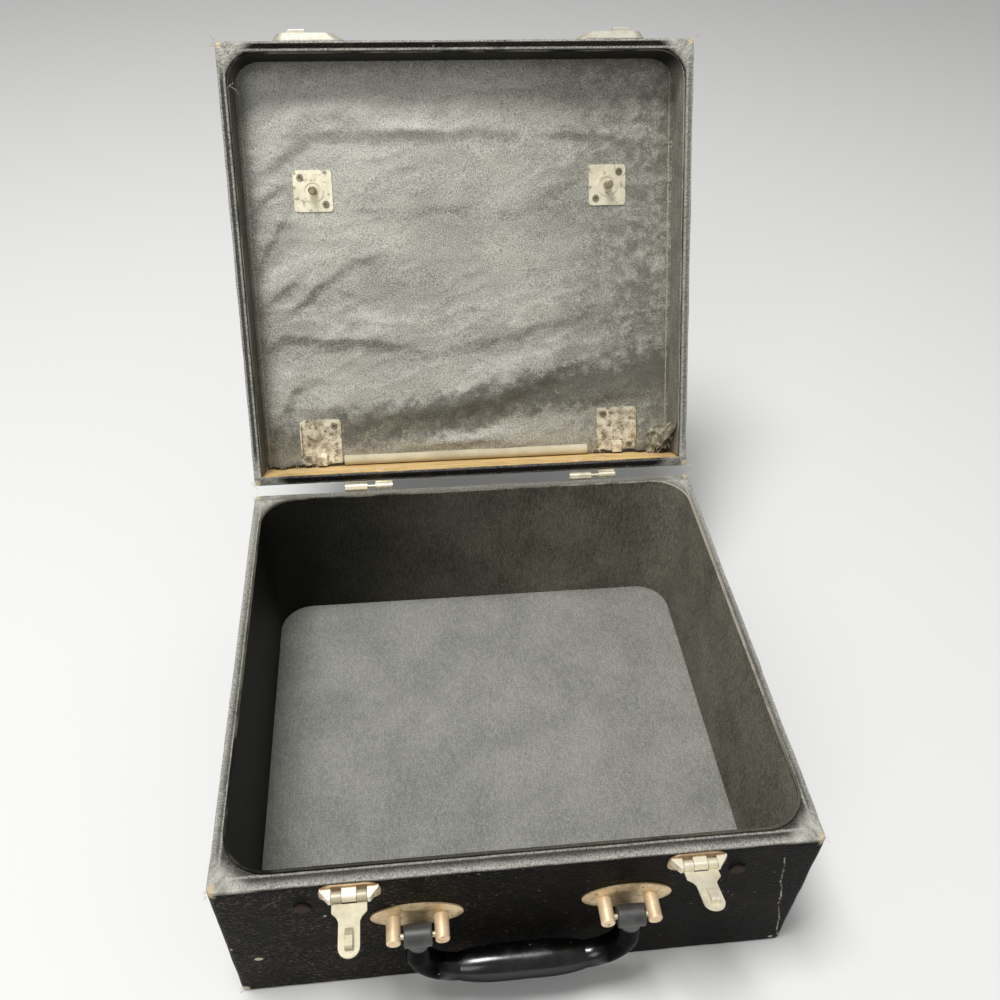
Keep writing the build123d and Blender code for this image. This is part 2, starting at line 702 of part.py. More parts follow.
def hasp_pin(side):
    """The pin of a hasp, held by the wings and the centre knuckle."""
    x = hasp_x(side)
    half = hasp_wing_start() + HASP_PIN_IN_WING
    return rod_x((x - half, x + half), front(HASP_PIN_OUT), HASP_PIN_HEIGHT, HASP_PIN_RADIUS)


def hasp_rivet_places(side):
    """Two rivets through the plate, below the wings."""
    x = hasp_x(side)
    half = HASP_RIVET_SPACING / 2
    return [(x - half, HASP_PIN_HEIGHT - HASP_RIVET_DROP), (x + half, HASP_PIN_HEIGHT - HASP_RIVET_DROP)]


def hasp_rivets(play=0.0):
    """The rivets of both hasp plates."""
    places = hasp_rivet_places(-1) + hasp_rivet_places(1)
    return sunk_rivets(places, -1, HASP_PLATE_SHEET, COVER + BASE_END_BOARD, SMALL_RIVET_RADII, play)


def front_rivets(play=0.0):
    """Two broad rivets near the ends of the front wall."""
    places = [(-FRONT_RIVET_X, FRONT_RIVET_Z), (FRONT_RIVET_X, FRONT_RIVET_Z)]
    return sunk_rivets(places, -1, 0.0, COVER + BASE_END_BOARD, FRONT_RIVET_RADII, play)


def hasp_leaf(x, z, leaf):
    """The flat part of a hasp: a wide head by the knuckles and a round-ended tongue."""
    head_start = HASP_KNUCKLE_RADIUS + HASP_KNUCKLE_GAP
    points = [
        (-HASP_HEAD_WIDTH / 2, head_start),
        (HASP_HEAD_WIDTH / 2, head_start),
        (HASP_HEAD_WIDTH / 2, HASP_HEAD_END - HASP_HEAD_SHOULDER),
        (HASP_NECK_WIDTH / 2 + HASP_NECK_FLARE, HASP_HEAD_END),
        (HASP_NECK_WIDTH / 2, HASP_HEAD_END + HASP_HEAD_SHOULDER),
        (HASP_NECK_WIDTH / 2, HASP_LENGTH - HASP_NECK_WIDTH / 2),
    ]
    right = Polyline([(x + across_x, z + along) for across_x, along in points])
    tip = ThreePointArc(right @ 1, (x, z + HASP_LENGTH), (x - HASP_NECK_WIDTH / 2, (right @ 1).Y))
    mirrored = [(x - across_x, z + along) for across_x, along in reversed(points[1:])]
    left = Polyline(mirrored)
    outline = Plane.XZ * make_face([right, tip, left])
    return Pos(0, leaf[0], 0) * extrude(outline, amount=HASP_SHEET, dir=(0, -1, 0))


def hasp_staple(x, z, inner):
    """The raised rib on the inner side of a hasp, with a window for the bolt of the lock."""
    crest = inner - STAPLE_HEIGHT
    profile = [
        (front(inner + HASP_SHEET / 2), z + STAPLE_START),
        (front(inner), z + STAPLE_START),
        (front(crest + STAPLE_BEND_DEPTH), z + STAPLE_START + STAPLE_BEND_LENGTH),
        (front(crest), z + STAPLE_START + STAPLE_RISE_LENGTH),
        (front(crest), z + STAPLE_END - STAPLE_TIP_BEVEL),
        (front(crest + STAPLE_TIP_BEVEL), z + STAPLE_END),
        (front(inner + HASP_SHEET / 2), z + STAPLE_END),
    ]
    outline = Plane.YZ * make_face(Polyline(profile, close=True))
    rib = Pos(x, 0, 0) * extrude(outline, amount=STAPLE_WIDTH / 2, both=True)
    window = block(
        (x - STAPLE_WIDTH, x + STAPLE_WIDTH),
        (front(crest + STAPLE_ROOF), front(crest + STAPLE_ROOF + STAPLE_WINDOW_HEIGHT)),
        (WINDOW_Z - STAPLE_WINDOW / 2, WINDOW_Z + STAPLE_WINDOW / 2),
    )
    return rib - window


def hasp_closed(side):
    """The T-shaped hasp in its shut position, standing up from its pin."""
    x = hasp_x(side)
    z = HASP_PIN_HEIGHT
    outer = HASP_PIN_OUT + HASP_KNUCKLE_RADIUS
    inner = outer - HASP_SHEET
    leaf = (front(inner), front(outer))
    near = HASP_CENTRE_KNUCKLE / 2 + HASP_KNUCKLE_GAP
    far = near + HASP_SIDE_KNUCKLE
    pieces = [hasp_leaf(x, z, leaf), hasp_staple(x, z, inner)]
    for way in (-1, 1):
        span = (x + way * near, x + way * far)
        pieces.append(rod_x(span, front(HASP_PIN_OUT), z, HASP_KNUCKLE_RADIUS))
        pieces.append(block(span, leaf, (z, z + HASP_KNUCKLE_RADIUS + 2 * HASP_KNUCKLE_GAP)))
    bore_span = (x - HASP_HEAD_WIDTH, x + HASP_HEAD_WIDTH)
    bore = rod_x(bore_span, front(HASP_PIN_OUT), z, HASP_PIN_RADIUS + PIN_PLAY)
    return joined(pieces) - bore


def hasp(name):
    """A hasp at the angle that it rests at, standing out from the case."""
    side = SIDES[name]
    y = front(HASP_PIN_OUT)
    lowered = 90.0 - HASP_REST_ANGLES[name]
    turn = Pos(0, y, HASP_PIN_HEIGHT) * Rot(lowered, 0, 0) * Pos(0, -y, -HASP_PIN_HEIGHT)
    return turn * hasp_closed(side)


# Locks, modelled on the closed lid


def across(side, near, far):
    """A stretch along X, from two distances measured outwards from the middle of the case."""
    return side * near, side * far


def lock_middle(side):
    """The distance of a lock's middle from the middle of the case."""
    return LOCK_X[NAMES[side]]


def button_middle(side):
    """The distance of a lock's button from the middle of the case."""
    return lock_middle(side) + BUTTON_FROM_CENTRE


def lock_outline(side, inner_taper, outer_taper, tall_taper, corner, out):
    """A rounded rectangle that lies parallel to the front of the lid, a distance out from it."""
    low = lock_middle(side) - LOCK_WIDTH / 2 + inner_taper
    high = lock_middle(side) + LOCK_WIDTH / 2 - outer_taper
    outline = RectangleRounded(high - low, LOCK_HEIGHT - 2 * tall_taper, corner)
    return Pos(side * (low + high) / 2, front(out), LOCK_Z) * Rot(90, 0, 0) * outline


def lock_dome(side, inset, top_out):
    """A solid with the shape of the lock's stamped cover, shrunk by an inset."""
    foot = lock_outline(side, inset, inset, inset, LOCK_BASE_CORNER - inset, LOCK_BACK_PLATE)
    inner_taper = LOCK_INNER_TAPER + inset * LOCK_LINING_SLOPE
    outer_taper = LOCK_OUTER_TAPER + inset
    tall_taper = LOCK_TALL_TAPER + inset
    top = lock_outline(side, inner_taper, outer_taper, tall_taper, LOCK_TOP_CORNER - inset, top_out)
    return loft([foot.faces()[0], top.faces()[0]], ruled=True)


def bolt_stretch(side):
    """Where the bolt's body starts and ends, measured outwards along X."""
    end = button_middle(side) + BUTTON_STEM / 2 + BOLT_BODY_PAST_STEM
    return end - BOLT_BODY_LENGTH, end


def lock_back_plate(side, cutters):
    """The flat plate under the lock's works, with a lug that the spring bears on."""
    foot = lock_outline(side, 0, 0, 0, LOCK_BASE_CORNER, LOCK_BACK_PLATE)
    plate = extrude(foot, amount=LOCK_BACK_PLATE, dir=(0, 1, 0))
    near = bolt_stretch(side)[1] + SPRING_LENGTH + LOCK_RUNNING_GAP
    out = (front(LOCK_BACK_PLATE / 2), front(LOCK_BACK_PLATE + LOCK_RUNNING_GAP + 2 * SPRING_RADIUS))
    levels = (LOCK_Z - SPRING_LUG_WIDTH / 2, LOCK_Z + SPRING_LUG_WIDTH / 2)
    lug = block(across(side, near, near + SPRING_LUG), out, levels)
    return without(plate + lug, cutters)


def lock_cover(side):
    """The domed stamping, with a slot for the hasp's staple and one that the button slides in."""
    outer = lock_dome(side, 0, LOCK_COVER_HEIGHT)
    inner = lock_dome(side, LOCK_SHEET, LOCK_COVER_HEIGHT - LOCK_SHEET)
    depth = (front(LOCK_BACK_PLATE + 1), front(LOCK_COVER_HEIGHT + 1))
    middle = HASP_X[NAMES[side]]
    half = STAPLE_WIDTH / 2 + STAPLE_SLOT_GAP
    low = HASP_PIN_HEIGHT + STAPLE_START - STAPLE_SWING_GAP
    high = HASP_PIN_HEIGHT + STAPLE_END + STAPLE_SWING_GAP
    staple_slot = block(across(side, middle - half, middle + half), depth, (low, high))
    half = BUTTON_STEM / 2 + LOCK_RUNNING_GAP
    middle = button_middle(side)
    tall = BUTTON_STEM_DEPTH / 2 + LOCK_RUNNING_GAP
    travel = across(side, middle - half, middle + half + BOLT_TRAVEL)
    button_slot = block(travel, depth, (LOCK_Z - tall, LOCK_Z + tall))
    return without(outer, [inner, staple_slot, button_slot])


def lock_bolt(side):
    """The sliding bolt inside the cover, with the nose that goes through the staple's window."""
    start, end = bolt_stretch(side)
    low = LOCK_BACK_PLATE + LOCK_RUNNING_GAP
    high = LOCK_COVER_HEIGHT - LOCK_SHEET - LOCK_RUNNING_GAP
    top = WINDOW_Z + BOLT_NOSE / 2 + BOLT_SHOULDER
    body = block(across(side, start, end), (front(low), front(high)), (top - BOLT_BODY_DEPTH, top))
    crest = HASP_PIN_OUT + HASP_LEAF_OUT - STAPLE_HEIGHT
    nose_out = crest + STAPLE_ROOF + (STAPLE_WINDOW_HEIGHT - BOLT_NOSE_THICKNESS) / 2
    nose_tip = HASP_X[NAMES[side]] - STAPLE_WIDTH / 2 - BOLT_NOSE_OVERRUN
    nose_span = across(side, nose_tip, start + 1)
    nose_depth = (front(nose_out), front(nose_out + BOLT_NOSE_THICKNESS))
    nose = block(nose_span, nose_depth, (WINDOW_Z - BOLT_NOSE / 2, WINDOW_Z + BOLT_NOSE / 2))
    middle = button_middle(side)
    stem_span = across(side, middle - BUTTON_STEM / 2, middle + BUTTON_STEM / 2)
    stem_depth = (front(high - 1), front(LOCK_COVER_HEIGHT + LOCK_RUNNING_GAP))
    stem = block(stem_span, stem_depth, (LOCK_Z - BUTTON_STEM_DEPTH / 2, LOCK_Z + BUTTON_STEM_DEPTH / 2))
    return joined([body, nose, stem])


def lock_button(side):
    """The thumb piece on the bolt's stem: steep towards the hasp, sloped on its outer end."""
    low = LOCK_COVER_HEIGHT + LOCK_RUNNING_GAP
    high = low + BUTTON_HEIGHT
    inner = button_middle(side) - BUTTON_LENGTH / 2
    outer = button_middle(side) + BUTTON_LENGTH / 2
    points = [(inner, low), (outer, low)]
    points += [(outer - BUTTON_OUTER_SLOPE, high), (inner + BUTTON_INNER_SLOPE, high)]
    outline = make_face(Polyline([(side * u, front(out)) for u, out in points], close=True))
    button = Pos(0, 0, LOCK_Z) * extrude(outline, amount=BUTTON_DEPTH / 2, both=True)
    top = [edge for edge in button.edges() if edge.center().Y < front(high) + 0.01]
    return fillet(top, BUTTON_EDGE_RADIUS)


def lock_spring(side):
    """The coil spring that pushes the bolt towards the hasp."""
    pitch = (SPRING_LENGTH - 4 * SPRING_WIRE_RADIUS) / SPRING_TURNS
    path = Helix(pitch=pitch, height=pitch * SPRING_TURNS, radius=SPRING_RADIUS - SPRING_WIRE_RADIUS)
    section = Plane(origin=path @ 0, z_dir=path % 0) * Circle(SPRING_WIRE_RADIUS)
    coil = sweep(section, path=path, is_frenet=True)
    first = bolt_stretch(side)[1] + 2 * SPRING_WIRE_RADIUS
    out = LOCK_BACK_PLATE + LOCK_RUNNING_GAP + SPRING_RADIUS
    return Pos(side * first, front(out), LOCK_Z) * Rot(0, side * 90, 0) * coil


def lock_rivets(play=0.0):
    """Three rivets for each lock that hold its back plate to the front board of the lid."""
    places = []
    for side in (-1, 1):
        for along, up in LOCK_RIVET_PLACES:
            places.append((side * (lock_middle(side) + along), LOCK_Z + up))
    return sunk_rivets(places, -1, LOCK_BACK_PLATE, COVER + LID_END_BOARD, SMALL_RIVET_RADII, play)


# Handle


def handle_plate(side, cutters):
    """An oval, slightly domed plate that two posts stand on."""
    x = side * HANDLE_X
    half_x = HANDLE_PLATE_WIDTH / 2
    half_z = HANDLE_PLATE_HEIGHT / 2
    foot = Ellipse(half_x, half_z)
    shoulder = Pos(0, 0, HANDLE_PLATE_EDGE) * foot
    crown = Ellipse(half_x - HANDLE_PLATE_SLOPE, half_z - HANDLE_PLATE_SLOPE)
    crown = Pos(0, 0, HANDLE_PLATE_DOME) * crown
    place = Pos(x, FRONT_FACE, HANDLE_PIN_HEIGHT) * Rot(90, 0, 0)
    edge = place * extrude(foot, amount=HANDLE_PLATE_EDGE)
    dome = loft([shoulder.face(), crown.face()])
    return without(edge + place * dome, cutters)


def post_places():
    """The X values of the four posts, two to a plate."""
    return [side * HANDLE_X + way * POST_SPACING / 2 for side in (-1, 1) for way in (-1, 1)]


def handle_post(x):
    """A round post with a shank through the wall. Its end is clinched over a washer inside."""
    post = rod_y((front(HANDLE_PLATE_DOME), front(POST_END_OUT)), x, HANDLE_PIN_HEIGHT, POST_RADIUS)
    post = fillet(post.edges().sort_by(Axis.Y)[0], POST_END_ROUNDING)
    shank_end = FRONT_FACE + BASE_FRONT_THROUGH
    shank = rod_y((front(HANDLE_PLATE_DOME), shank_end), x, HANDLE_PIN_HEIGHT, POST_SHANK_RADIUS)
    return post + shank


def handle_post_cutter(x):
    """The hole for a post's shank, with the recess for its washer."""
    shank_end = FRONT_FACE + BASE_FRONT_THROUGH
    shank = rod_y((front(MANY), shank_end + 1), x, HANDLE_PIN_HEIGHT, POST_SHANK_RADIUS + FIT)
    recess_span = (shank_end - POST_WASHER, shank_end + 1)
    recess = rod_y(recess_span, x, HANDLE_PIN_HEIGHT, POST_WASHER_RADIUS + FIT)
    return shank + recess


def handle_washer(x):
    """The washer that a post's shank is clinched over, sunk flush with the board."""
    end = FRONT_FACE + BASE_FRONT_THROUGH
    disc = rod_y((end - POST_WASHER, end), x, HANDLE_PIN_HEIGHT, POST_WASHER_RADIUS)
    return disc - rod_y((end - 2 * POST_WASHER, end + 1), x, HANDLE_PIN_HEIGHT, POST_SHANK_RADIUS + FIT)


def handle_pin(side):
    """The cross pin between two posts."""
    half = POST_SPACING / 2 + HANDLE_PIN_IN_POST
    x = side * HANDLE_X
    return rod_x((x - half, x + half), front(HANDLE_PIN_OUT), HANDLE_PIN_HEIGHT, HANDLE_PIN_RADIUS)


def handle_arm(side):
    """One arm: a barrel on the pin, a swelling stalk and a quarter bend into the grip."""
    x = side * HANDLE_X
    y = front(HANDLE_PIN_OUT)
    z = HANDLE_PIN_HEIGHT
    barrel = rod_x((x - BARREL_LENGTH / 2, x + BARREL_LENGTH / 2), y, z, BARREL_RADIUS)
    barrel = fillet(barrel.edges().filter_by(GeomType.CIRCLE), BARREL_ROUNDING)
    bend_top = z - HANDLE_DROP + ARM_BEND_RADIUS
    stalk_top = Pos(x, y, z) * Circle(ARM_TOP_RADIUS)
    stalk_end = Pos(x, y, bend_top) * Circle(ARM_RADIUS)
    stalk = loft([stalk_top.face(), stalk_end.face()], ruled=True)
    bend_x = x - side * ARM_BEND_RADIUS
    start = Vector(x, y, bend_top)
    end = Vector(bend_x, y, bend_top - ARM_BEND_RADIUS)
    halfway = ARM_BEND_RADIUS * math.sin(math.pi / 4)
    middle = Vector(bend_x + side * halfway, y, bend_top - halfway)
    path = ThreePointArc(start, middle, end)
    section = Pos(x, y, bend_top) * Circle(ARM_RADIUS)
    bend = sweep(section, path=path)
    return joined([barrel, stalk, bend])


def handle_grip():
    """The thick middle of the handle, turned about its own length."""
    end = HANDLE_X - ARM_BEND_RADIUS + GRIP_END_OVERLAP
    shoulder = end - GRIP_SWELL
    swell = [(-end, GRIP_END_RADIUS), (-shoulder, GRIP_SHOULDER_RADIUS), (0, GRIP_RADIUS)]
    swell += [(shoulder, GRIP_SHOULDER_RADIUS), (end, GRIP_END_RADIUS)]
    lines = [Line((-end, 0), (-end, GRIP_END_RADIUS)), Spline(swell)]
    lines += [Line((end, GRIP_END_RADIUS), (end, 0)), Line((end, 0), (-end, 0))]
    grip = revolve(make_face(lines), axis=Axis.X)
    return Pos(0, front(HANDLE_PIN_OUT), HANDLE_PIN_HEIGHT - HANDLE_DROP) * grip


def handle():
    """The whole moulded handle: grip, two arms and their barrels, bored for the pins."""
    y = front(HANDLE_PIN_OUT)
    bores = []
    for side in (-1, 1):
        span = (side * HANDLE_X - BARREL_LENGTH, side * HANDLE_X + BARREL_LENGTH)
        bores.append(rod_x(span, y, HANDLE_PIN_HEIGHT, HANDLE_PIN_RADIUS + PIN_PLAY))
    return without(joined([handle_grip(), handle_arm(-1), handle_arm(1)]), bores)


# Fittings inside the lid


def eyelet(x, y):
    """A hollow rivet through a fitting and the liner into the top board."""
    face = LINER_FACE - FITTING_SHEET
    flange = rod_z((face - EYELET_FLANGE, face), x, y, EYELET_RADIUS)
    barrel = rod_z((face, face + EYELET_LENGTH), x, y, EYELET_BARREL_RADIUS)
    bore = rod_z((face - 1, face + EYELET_LENGTH + 1), x, y, EYELET_BORE_RADIUS)
    return flange + barrel - bore


def eyelet_hole(x, y):
    """The hole that an eyelet needs."""
    face = LINER_FACE - FITTING_SHEET
    return rod_z((face - 1, face + EYELET_LENGTH + FIT), x, y, EYELET_BARREL_RADIUS + FIT)


def eyelet_places():
    """The eyelets: opposite corners of each stud plate and of each clip plate."""
    places = []
    for side in (-1, 1):
        x = side * STUD_X
        y = HINGE_Y - STUD_FROM_HINGE
        to_side = side * (STUD_PLATE_WIDTH / 2 - EYELET_INSET)
        to_end = STUD_PLATE_HEIGHT / 2 - EYELET_INSET
        places += [(x + to_side, y - to_end), (x - to_side, y + to_end)]
        x = side * CLIP_X
        y = HINGE_Y - CLIP_FROM_HINGE
        to_side = side * (CLIP_WIDTH / 2 - EYELET_INSET)
        to_end = CLIP_HEIGHT / 2 - EYELET_INSET
        places += [(x - to_side, y - to_end), (x + to_side, y + to_end)]
    return places


def stud_plate(side, cutters):
    """A square plate on the liner with a raised ring round its stud."""
    x = side * STUD_X
    y = HINGE_Y - STUD_FROM_HINGE
    face = LINER_FACE - FITTING_SHEET
    crest = face - STUD_RING_HEIGHT
    outline = RectangleRounded(STUD_PLATE_WIDTH, STUD_PLATE_HEIGHT, FITTING_CORNER)
    plate = Pos(x, y, face) * extrude(outline, amount=FITTING_SHEET)
    ring = rod_z((crest, face + FITTING_SHEET / 2), x, y, STUD_RING_RADIUS)
    dish = rod_z((crest - 1, face), x, y, STUD_RING_RADIUS - STUD_RING_WIDTH)
    return without(plate + (ring - dish), cutters)


def stud_shank(side, play=0.0):
    """The shank of a stud, through its plate and the liner into the top board."""
    face = LINER_FACE - FITTING_SHEET
    end = LINER_FACE + STUD_SHANK_LENGTH
    return rod_z((face, end + play), side * STUD_X, HINGE_Y - STUD_FROM_HINGE, STUD_SHANK_RADIUS + play)


def stud(side):
    """The stud: a round-ended post with a waist for a spring catch."""
    x = side * STUD_X
    y = HINGE_Y - STUD_FROM_HINGE
    face = LINER_FACE - FITTING_SHEET
    tip = face - STUD_HEIGHT
    post = rod_z((tip, face), x, y, STUD_RADIUS)
    post = fillet(post.edges().sort_by(Axis.Z)[0], STUD_TIP_ROUNDING)
    waist = (tip + STUD_WAIST_START, tip + STUD_WAIST_START + STUD_WAIST_LENGTH)
    groove = rod_z(waist, x, y, STUD_RADIUS + 1) - rod_z(waist, x, y, STUD_RADIUS - STUD_WAIST_DEPTH)
    return (post - groove) + stud_shank(side)


def clip_plate(side, cutters):
    """A plate near the hinge side with a turned-up edge and a bent tongue."""
    x = side * CLIP_X
    y = HINGE_Y - CLIP_FROM_HINGE
    face = LINER_FACE - FITTING_SHEET
    outline = RectangleRounded(CLIP_WIDTH, CLIP_HEIGHT, FITTING_CORNER)
    plate = Pos(x, y, face) * extrude(outline, amount=FITTING_SHEET)
    edge_x = x + side * CLIP_WIDTH / 2
    edge_y = (y - CLIP_HEIGHT / 2 + CLIP_FLANGE_INSET, y + CLIP_HEIGHT / 2 - CLIP_TONGUE_LENGTH)
    flange = block((edge_x, edge_x - side * FITTING_SHEET), edge_y, (face - CLIP_FLANGE, LINER_FACE))
    return without(joined([plate, flange, clip_tongue(x, y + CLIP_HEIGHT / 2, face)]), cutters)


def clip_tongue(x, end_y, face):
    """The tongue of a clip plate: it rises from the plate and lies parallel to it at its end."""
    start_y = end_y - CLIP_TONGUE_LENGTH
    level = face - CLIP_TONGUE_RISE
    bend_y = start_y + CLIP_TONGUE_SLOPE
    profile = [
        (start_y, face + FITTING_SHEET),
        (start_y, face),
        (bend_y, level),
        (end_y, level),
        (end_y, level + FITTING_SHEET),
        (bend_y + FITTING_SHEET, level + FITTING_SHEET),
        (start_y + FITTING_SHEET, face + FITTING_SHEET),
    ]
    outline = Plane.YZ * make_face(Polyline(profile, close=True))
    return Pos(x, 0, 0) * extrude(outline, amount=CLIP_TONGUE_WIDTH / 2, both=True)


def base_nodes(holes):
    """The pieces of the base. holes are the rooms of every fastener in the base."""
    floor_up = (FLOOR_TOP, BASE_HEIGHT - COVER)
    left, right, front_board, rear_board = wall_boards(BASE_INSIDE_X, BASE_INSIDE_Y, *floor_up)
    nodes = {}
    nodes["base_left_board"] = without(left, holes["nails"])
    nodes["base_right_board"] = without(right, holes["nails"])
    nodes["base_front_board"] = without(front_board, holes["nails"] + holes["front"])
    nodes["base_rear_board"] = without(rear_board, holes["nails"] + holes["rear"])
    nodes["base_bottom_board"] = board_space(COVER, FLOOR_TOP)
    inside = (BASE_INSIDE_X, BASE_INSIDE_Y, BASE_LINING_CORNER_RADIUS)
    nodes["base_corner_blocks"] = grouped(corner_blocks(*inside, BASE_CORNER_BLOCK, floor_up, (-1, 1)))
    nodes["base_corner_nails"] = grouped(corner_nails(BASE_NAIL_HEIGHTS))
    nodes["base_covering"] = base_covering(holes["front"] + holes["rear"])
    nodes["base_underside_sheet"] = base_underside_sheet()
    nodes["base_wall_lining"] = base_wall_lining()
    nodes["base_floor_lining"] = base_floor_lining()
    return nodes


def lid_nodes(holes):
    """The wood, leatherette and cloth of the closed lid."""
    walls = (LID_RIM + COVER, LID_PANEL)
    left, right, front_board, rear_board = wall_boards(LID_INSIDE_X, LID_INSIDE_Y, *walls)
    nodes = {}
    nodes["lid_left_board"] = without(left, holes["nails"])
    nodes["lid_right_board"] = without(right, holes["nails"])
    nodes["lid_front_board"] = without(front_board, holes["nails"] + holes["front"])
    nodes["lid_rear_board"] = without(rear_board, holes["nails"] + holes["rear"])
    nodes["lid_top_board"] = without(board_space(LID_PANEL, LID_TOP - COVER), holes["panel"])
    inside = (LID_INSIDE_X, LID_INSIDE_Y, LID_LINING_CORNER_RADIUS)
    nodes["lid_corner_blocks"] = grouped(corner_blocks(*inside, LID_CORNER_BLOCK, walls, (-1,)))
    nodes["lid_corner_nails"] = grouped(corner_nails(LID_NAIL_HEIGHTS))
    nodes["lid_covering"] = lid_covering(holes["front"] + holes["rear"])
    nodes["lid_wall_lining"] = lid_wall_lining()
    nodes["lid_liner"] = lid_liner(holes["panel"])
    nodes["lid_liner_piping"] = lid_liner_piping()
    return nodes


def lid_fitting_nodes(holes):
    """The metal fittings of the closed lid, inside and out."""
    nodes = {}
    for name, side in SIDES.items():
        nodes["lid_stud_plate_" + name] = stud_plate(side, holes["panel"])
        nodes["lid_stud_" + name] = stud(side)
        nodes["lid_clip_plate_" + name] = clip_plate(side, holes["panel"])
        nodes["lock_back_plate_" + name] = lock_back_plate(side, holes["front"])
        nodes["lock_cover_" + name] = lock_cover(side)
        nodes["lock_bolt_" + name] = lock_bolt(side)
        nodes["lock_button_" + name] = lock_button(side)
    for name, centre in zip(SIDES, HINGE_CENTRES):
        nodes["hinge_lid_leaf_" + name] = without(hinge_leaf(centre, 1), holes["rear"])
    nodes["lid_eyelets"] = grouped([eyelet(x, y) for x, y in eyelet_places()])
    nodes["lock_springs"] = grouped([lock_spring(side) for side in SIDES.values()])
    nodes["lock_rivets"] = grouped(lock_rivets())
    nodes["hinge_lid_rivets"] = grouped(hinge_lid_rivets())
    return nodes


def base_fitting_nodes(holes):
    """The metal fittings of the base: hinge halves, hasps and handle."""
    nodes = {}
    for name, centre in zip(SIDES, HINGE_CENTRES):
        nodes["hinge_base_leaf_" + name] = without(hinge_leaf(centre, -1), holes["rear"])
    for name, side in SIDES.items():
        nodes["hasp_plate_" + name] = hasp_plate(side, holes["front"])
        nodes["hasp_" + name] = hasp(name)
        nodes["handle_plate_" + name] = handle_plate(side, holes["front"])
    pins = [handle_pin(side) for side in SIDES.values()]
    nodes["hinge_pins"] = grouped([hinge_pin(centre) for centre in HINGE_CENTRES])
    nodes["hinge_base_rivets"] = grouped(hinge_base_rivets())
    nodes["hasp_pins"] = grouped([hasp_pin(side) for side in SIDES.values()])
    nodes["hasp_rivets"] = grouped(hasp_rivets())
    nodes["front_rivets"] = grouped(front_rivets())
    nodes["handle_posts"] = grouped([without(handle_post(x), pins) for x in post_places()])
    nodes["handle_washers"] = grouped([handle_washer(x) for x in post_places()])
    nodes["handle_pins"] = grouped(pins)
    nodes["handle"] = handle()
    return nodes


def main():
    """Builds every piece and writes one file for each node."""
    os.makedirs("parts", exist_ok=True)
    eyelet_holes = [eyelet_hole(x, y) for x, y in eyelet_places()]
    stud_holes = [stud_shank(side, FIT) for side in (-1, 1)]
    base_holes = {
        "nails": corner_nails(BASE_NAIL_HEIGHTS, FIT),
        "front": [handle_post_cutter(x) for x in post_places()] + hasp_rivets(FIT) + front_rivets(FIT),
        "rear": hinge_base_rivets(FIT),
    }
    lid_holes = {
        "nails": corner_nails(LID_NAIL_HEIGHTS, FIT),
        "front": lock_rivets(FIT),
        "rear": hinge_lid_rivets(FIT),
        "panel": eyelet_holes + stud_holes,
    }
    nodes = base_nodes(base_holes) | base_fitting_nodes(base_holes)
    closed_lid = lid_nodes(lid_holes) | lid_fitting_nodes(lid_holes)
    for name, shape in closed_lid.items():
        nodes[name] = opened(shape)
    for name, shape in nodes.items():
        export_step(shape, f"parts/{name}.step")


main()
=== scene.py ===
"""Looks of a worn typewriter case: leatherette over boards, cloth linings, aged metal fittings.

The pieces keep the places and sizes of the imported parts. Pieces of the lid are made where they are on
the closed lid, and are then turned open about the hinge pins.
"""

import math
import random

import bmesh
import bpy
from mathutils import Matrix, Vector, noise


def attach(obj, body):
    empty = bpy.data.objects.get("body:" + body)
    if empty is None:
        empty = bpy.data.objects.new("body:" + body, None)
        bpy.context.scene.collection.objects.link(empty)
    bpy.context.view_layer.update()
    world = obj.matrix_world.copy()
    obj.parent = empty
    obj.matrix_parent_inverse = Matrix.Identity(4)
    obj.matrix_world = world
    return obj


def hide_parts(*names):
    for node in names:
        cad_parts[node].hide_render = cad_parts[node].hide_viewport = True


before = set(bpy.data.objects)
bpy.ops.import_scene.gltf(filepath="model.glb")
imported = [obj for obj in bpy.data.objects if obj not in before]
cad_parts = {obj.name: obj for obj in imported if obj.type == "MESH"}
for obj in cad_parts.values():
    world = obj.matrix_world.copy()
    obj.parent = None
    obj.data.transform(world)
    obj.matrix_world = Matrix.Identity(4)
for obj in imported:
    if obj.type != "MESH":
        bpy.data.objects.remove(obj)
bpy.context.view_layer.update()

# Sizes of the case, in metres
MM = 0.001
WIDTH = 336 * MM
DEPTH = 312 * MM
OUTLINE = (WIDTH / 2, DEPTH / 2)
BASE_TOP = 124 * MM
LID_RIM = 124.6 * MM
LID_TOP = 164.6 * MM
LID_PANEL = 158.8 * MM
LINER_FACE = 156.6 * MM
COVER = 0.8 * MM
CORNER = 3.5 * MM
BASE_INSIDE = (162.2 * MM, 148.2 * MM)
LID_INSIDE = (162.8 * MM, 149.6 * MM)
BASE_LINING_CORNER = 26 * MM
LID_LINING_CORNER = 20 * MM
BASE_LINING = 1.6 * MM
LID_LINING = 1.2 * MM
FLOOR_TOP = 5.8 * MM
FLOOR_CLOTH = 7.0 * MM
LIP_TOP = 126.5 * MM
LID_LINING_EDGE = 128.1 * MM
UNDERSIDE_FOLD = 16 * MM
TURNED_IN = 0.35 * MM
PIPING_RADIUS = 4 * MM
PIPING_ENDS = (-101 * MM, 94 * MM)
PIPING_Y = 145 * MM
HINGE_LINE = Vector((0, 160 * MM, 124.3 * MM))
LID_OPEN = math.radians(118)

TO_HINGE = Matrix.Translation(HINGE_LINE)
LID_OPENING = TO_HINGE @ Matrix.Rotation(-LID_OPEN, 4, "X") @ TO_HINGE.inverted()

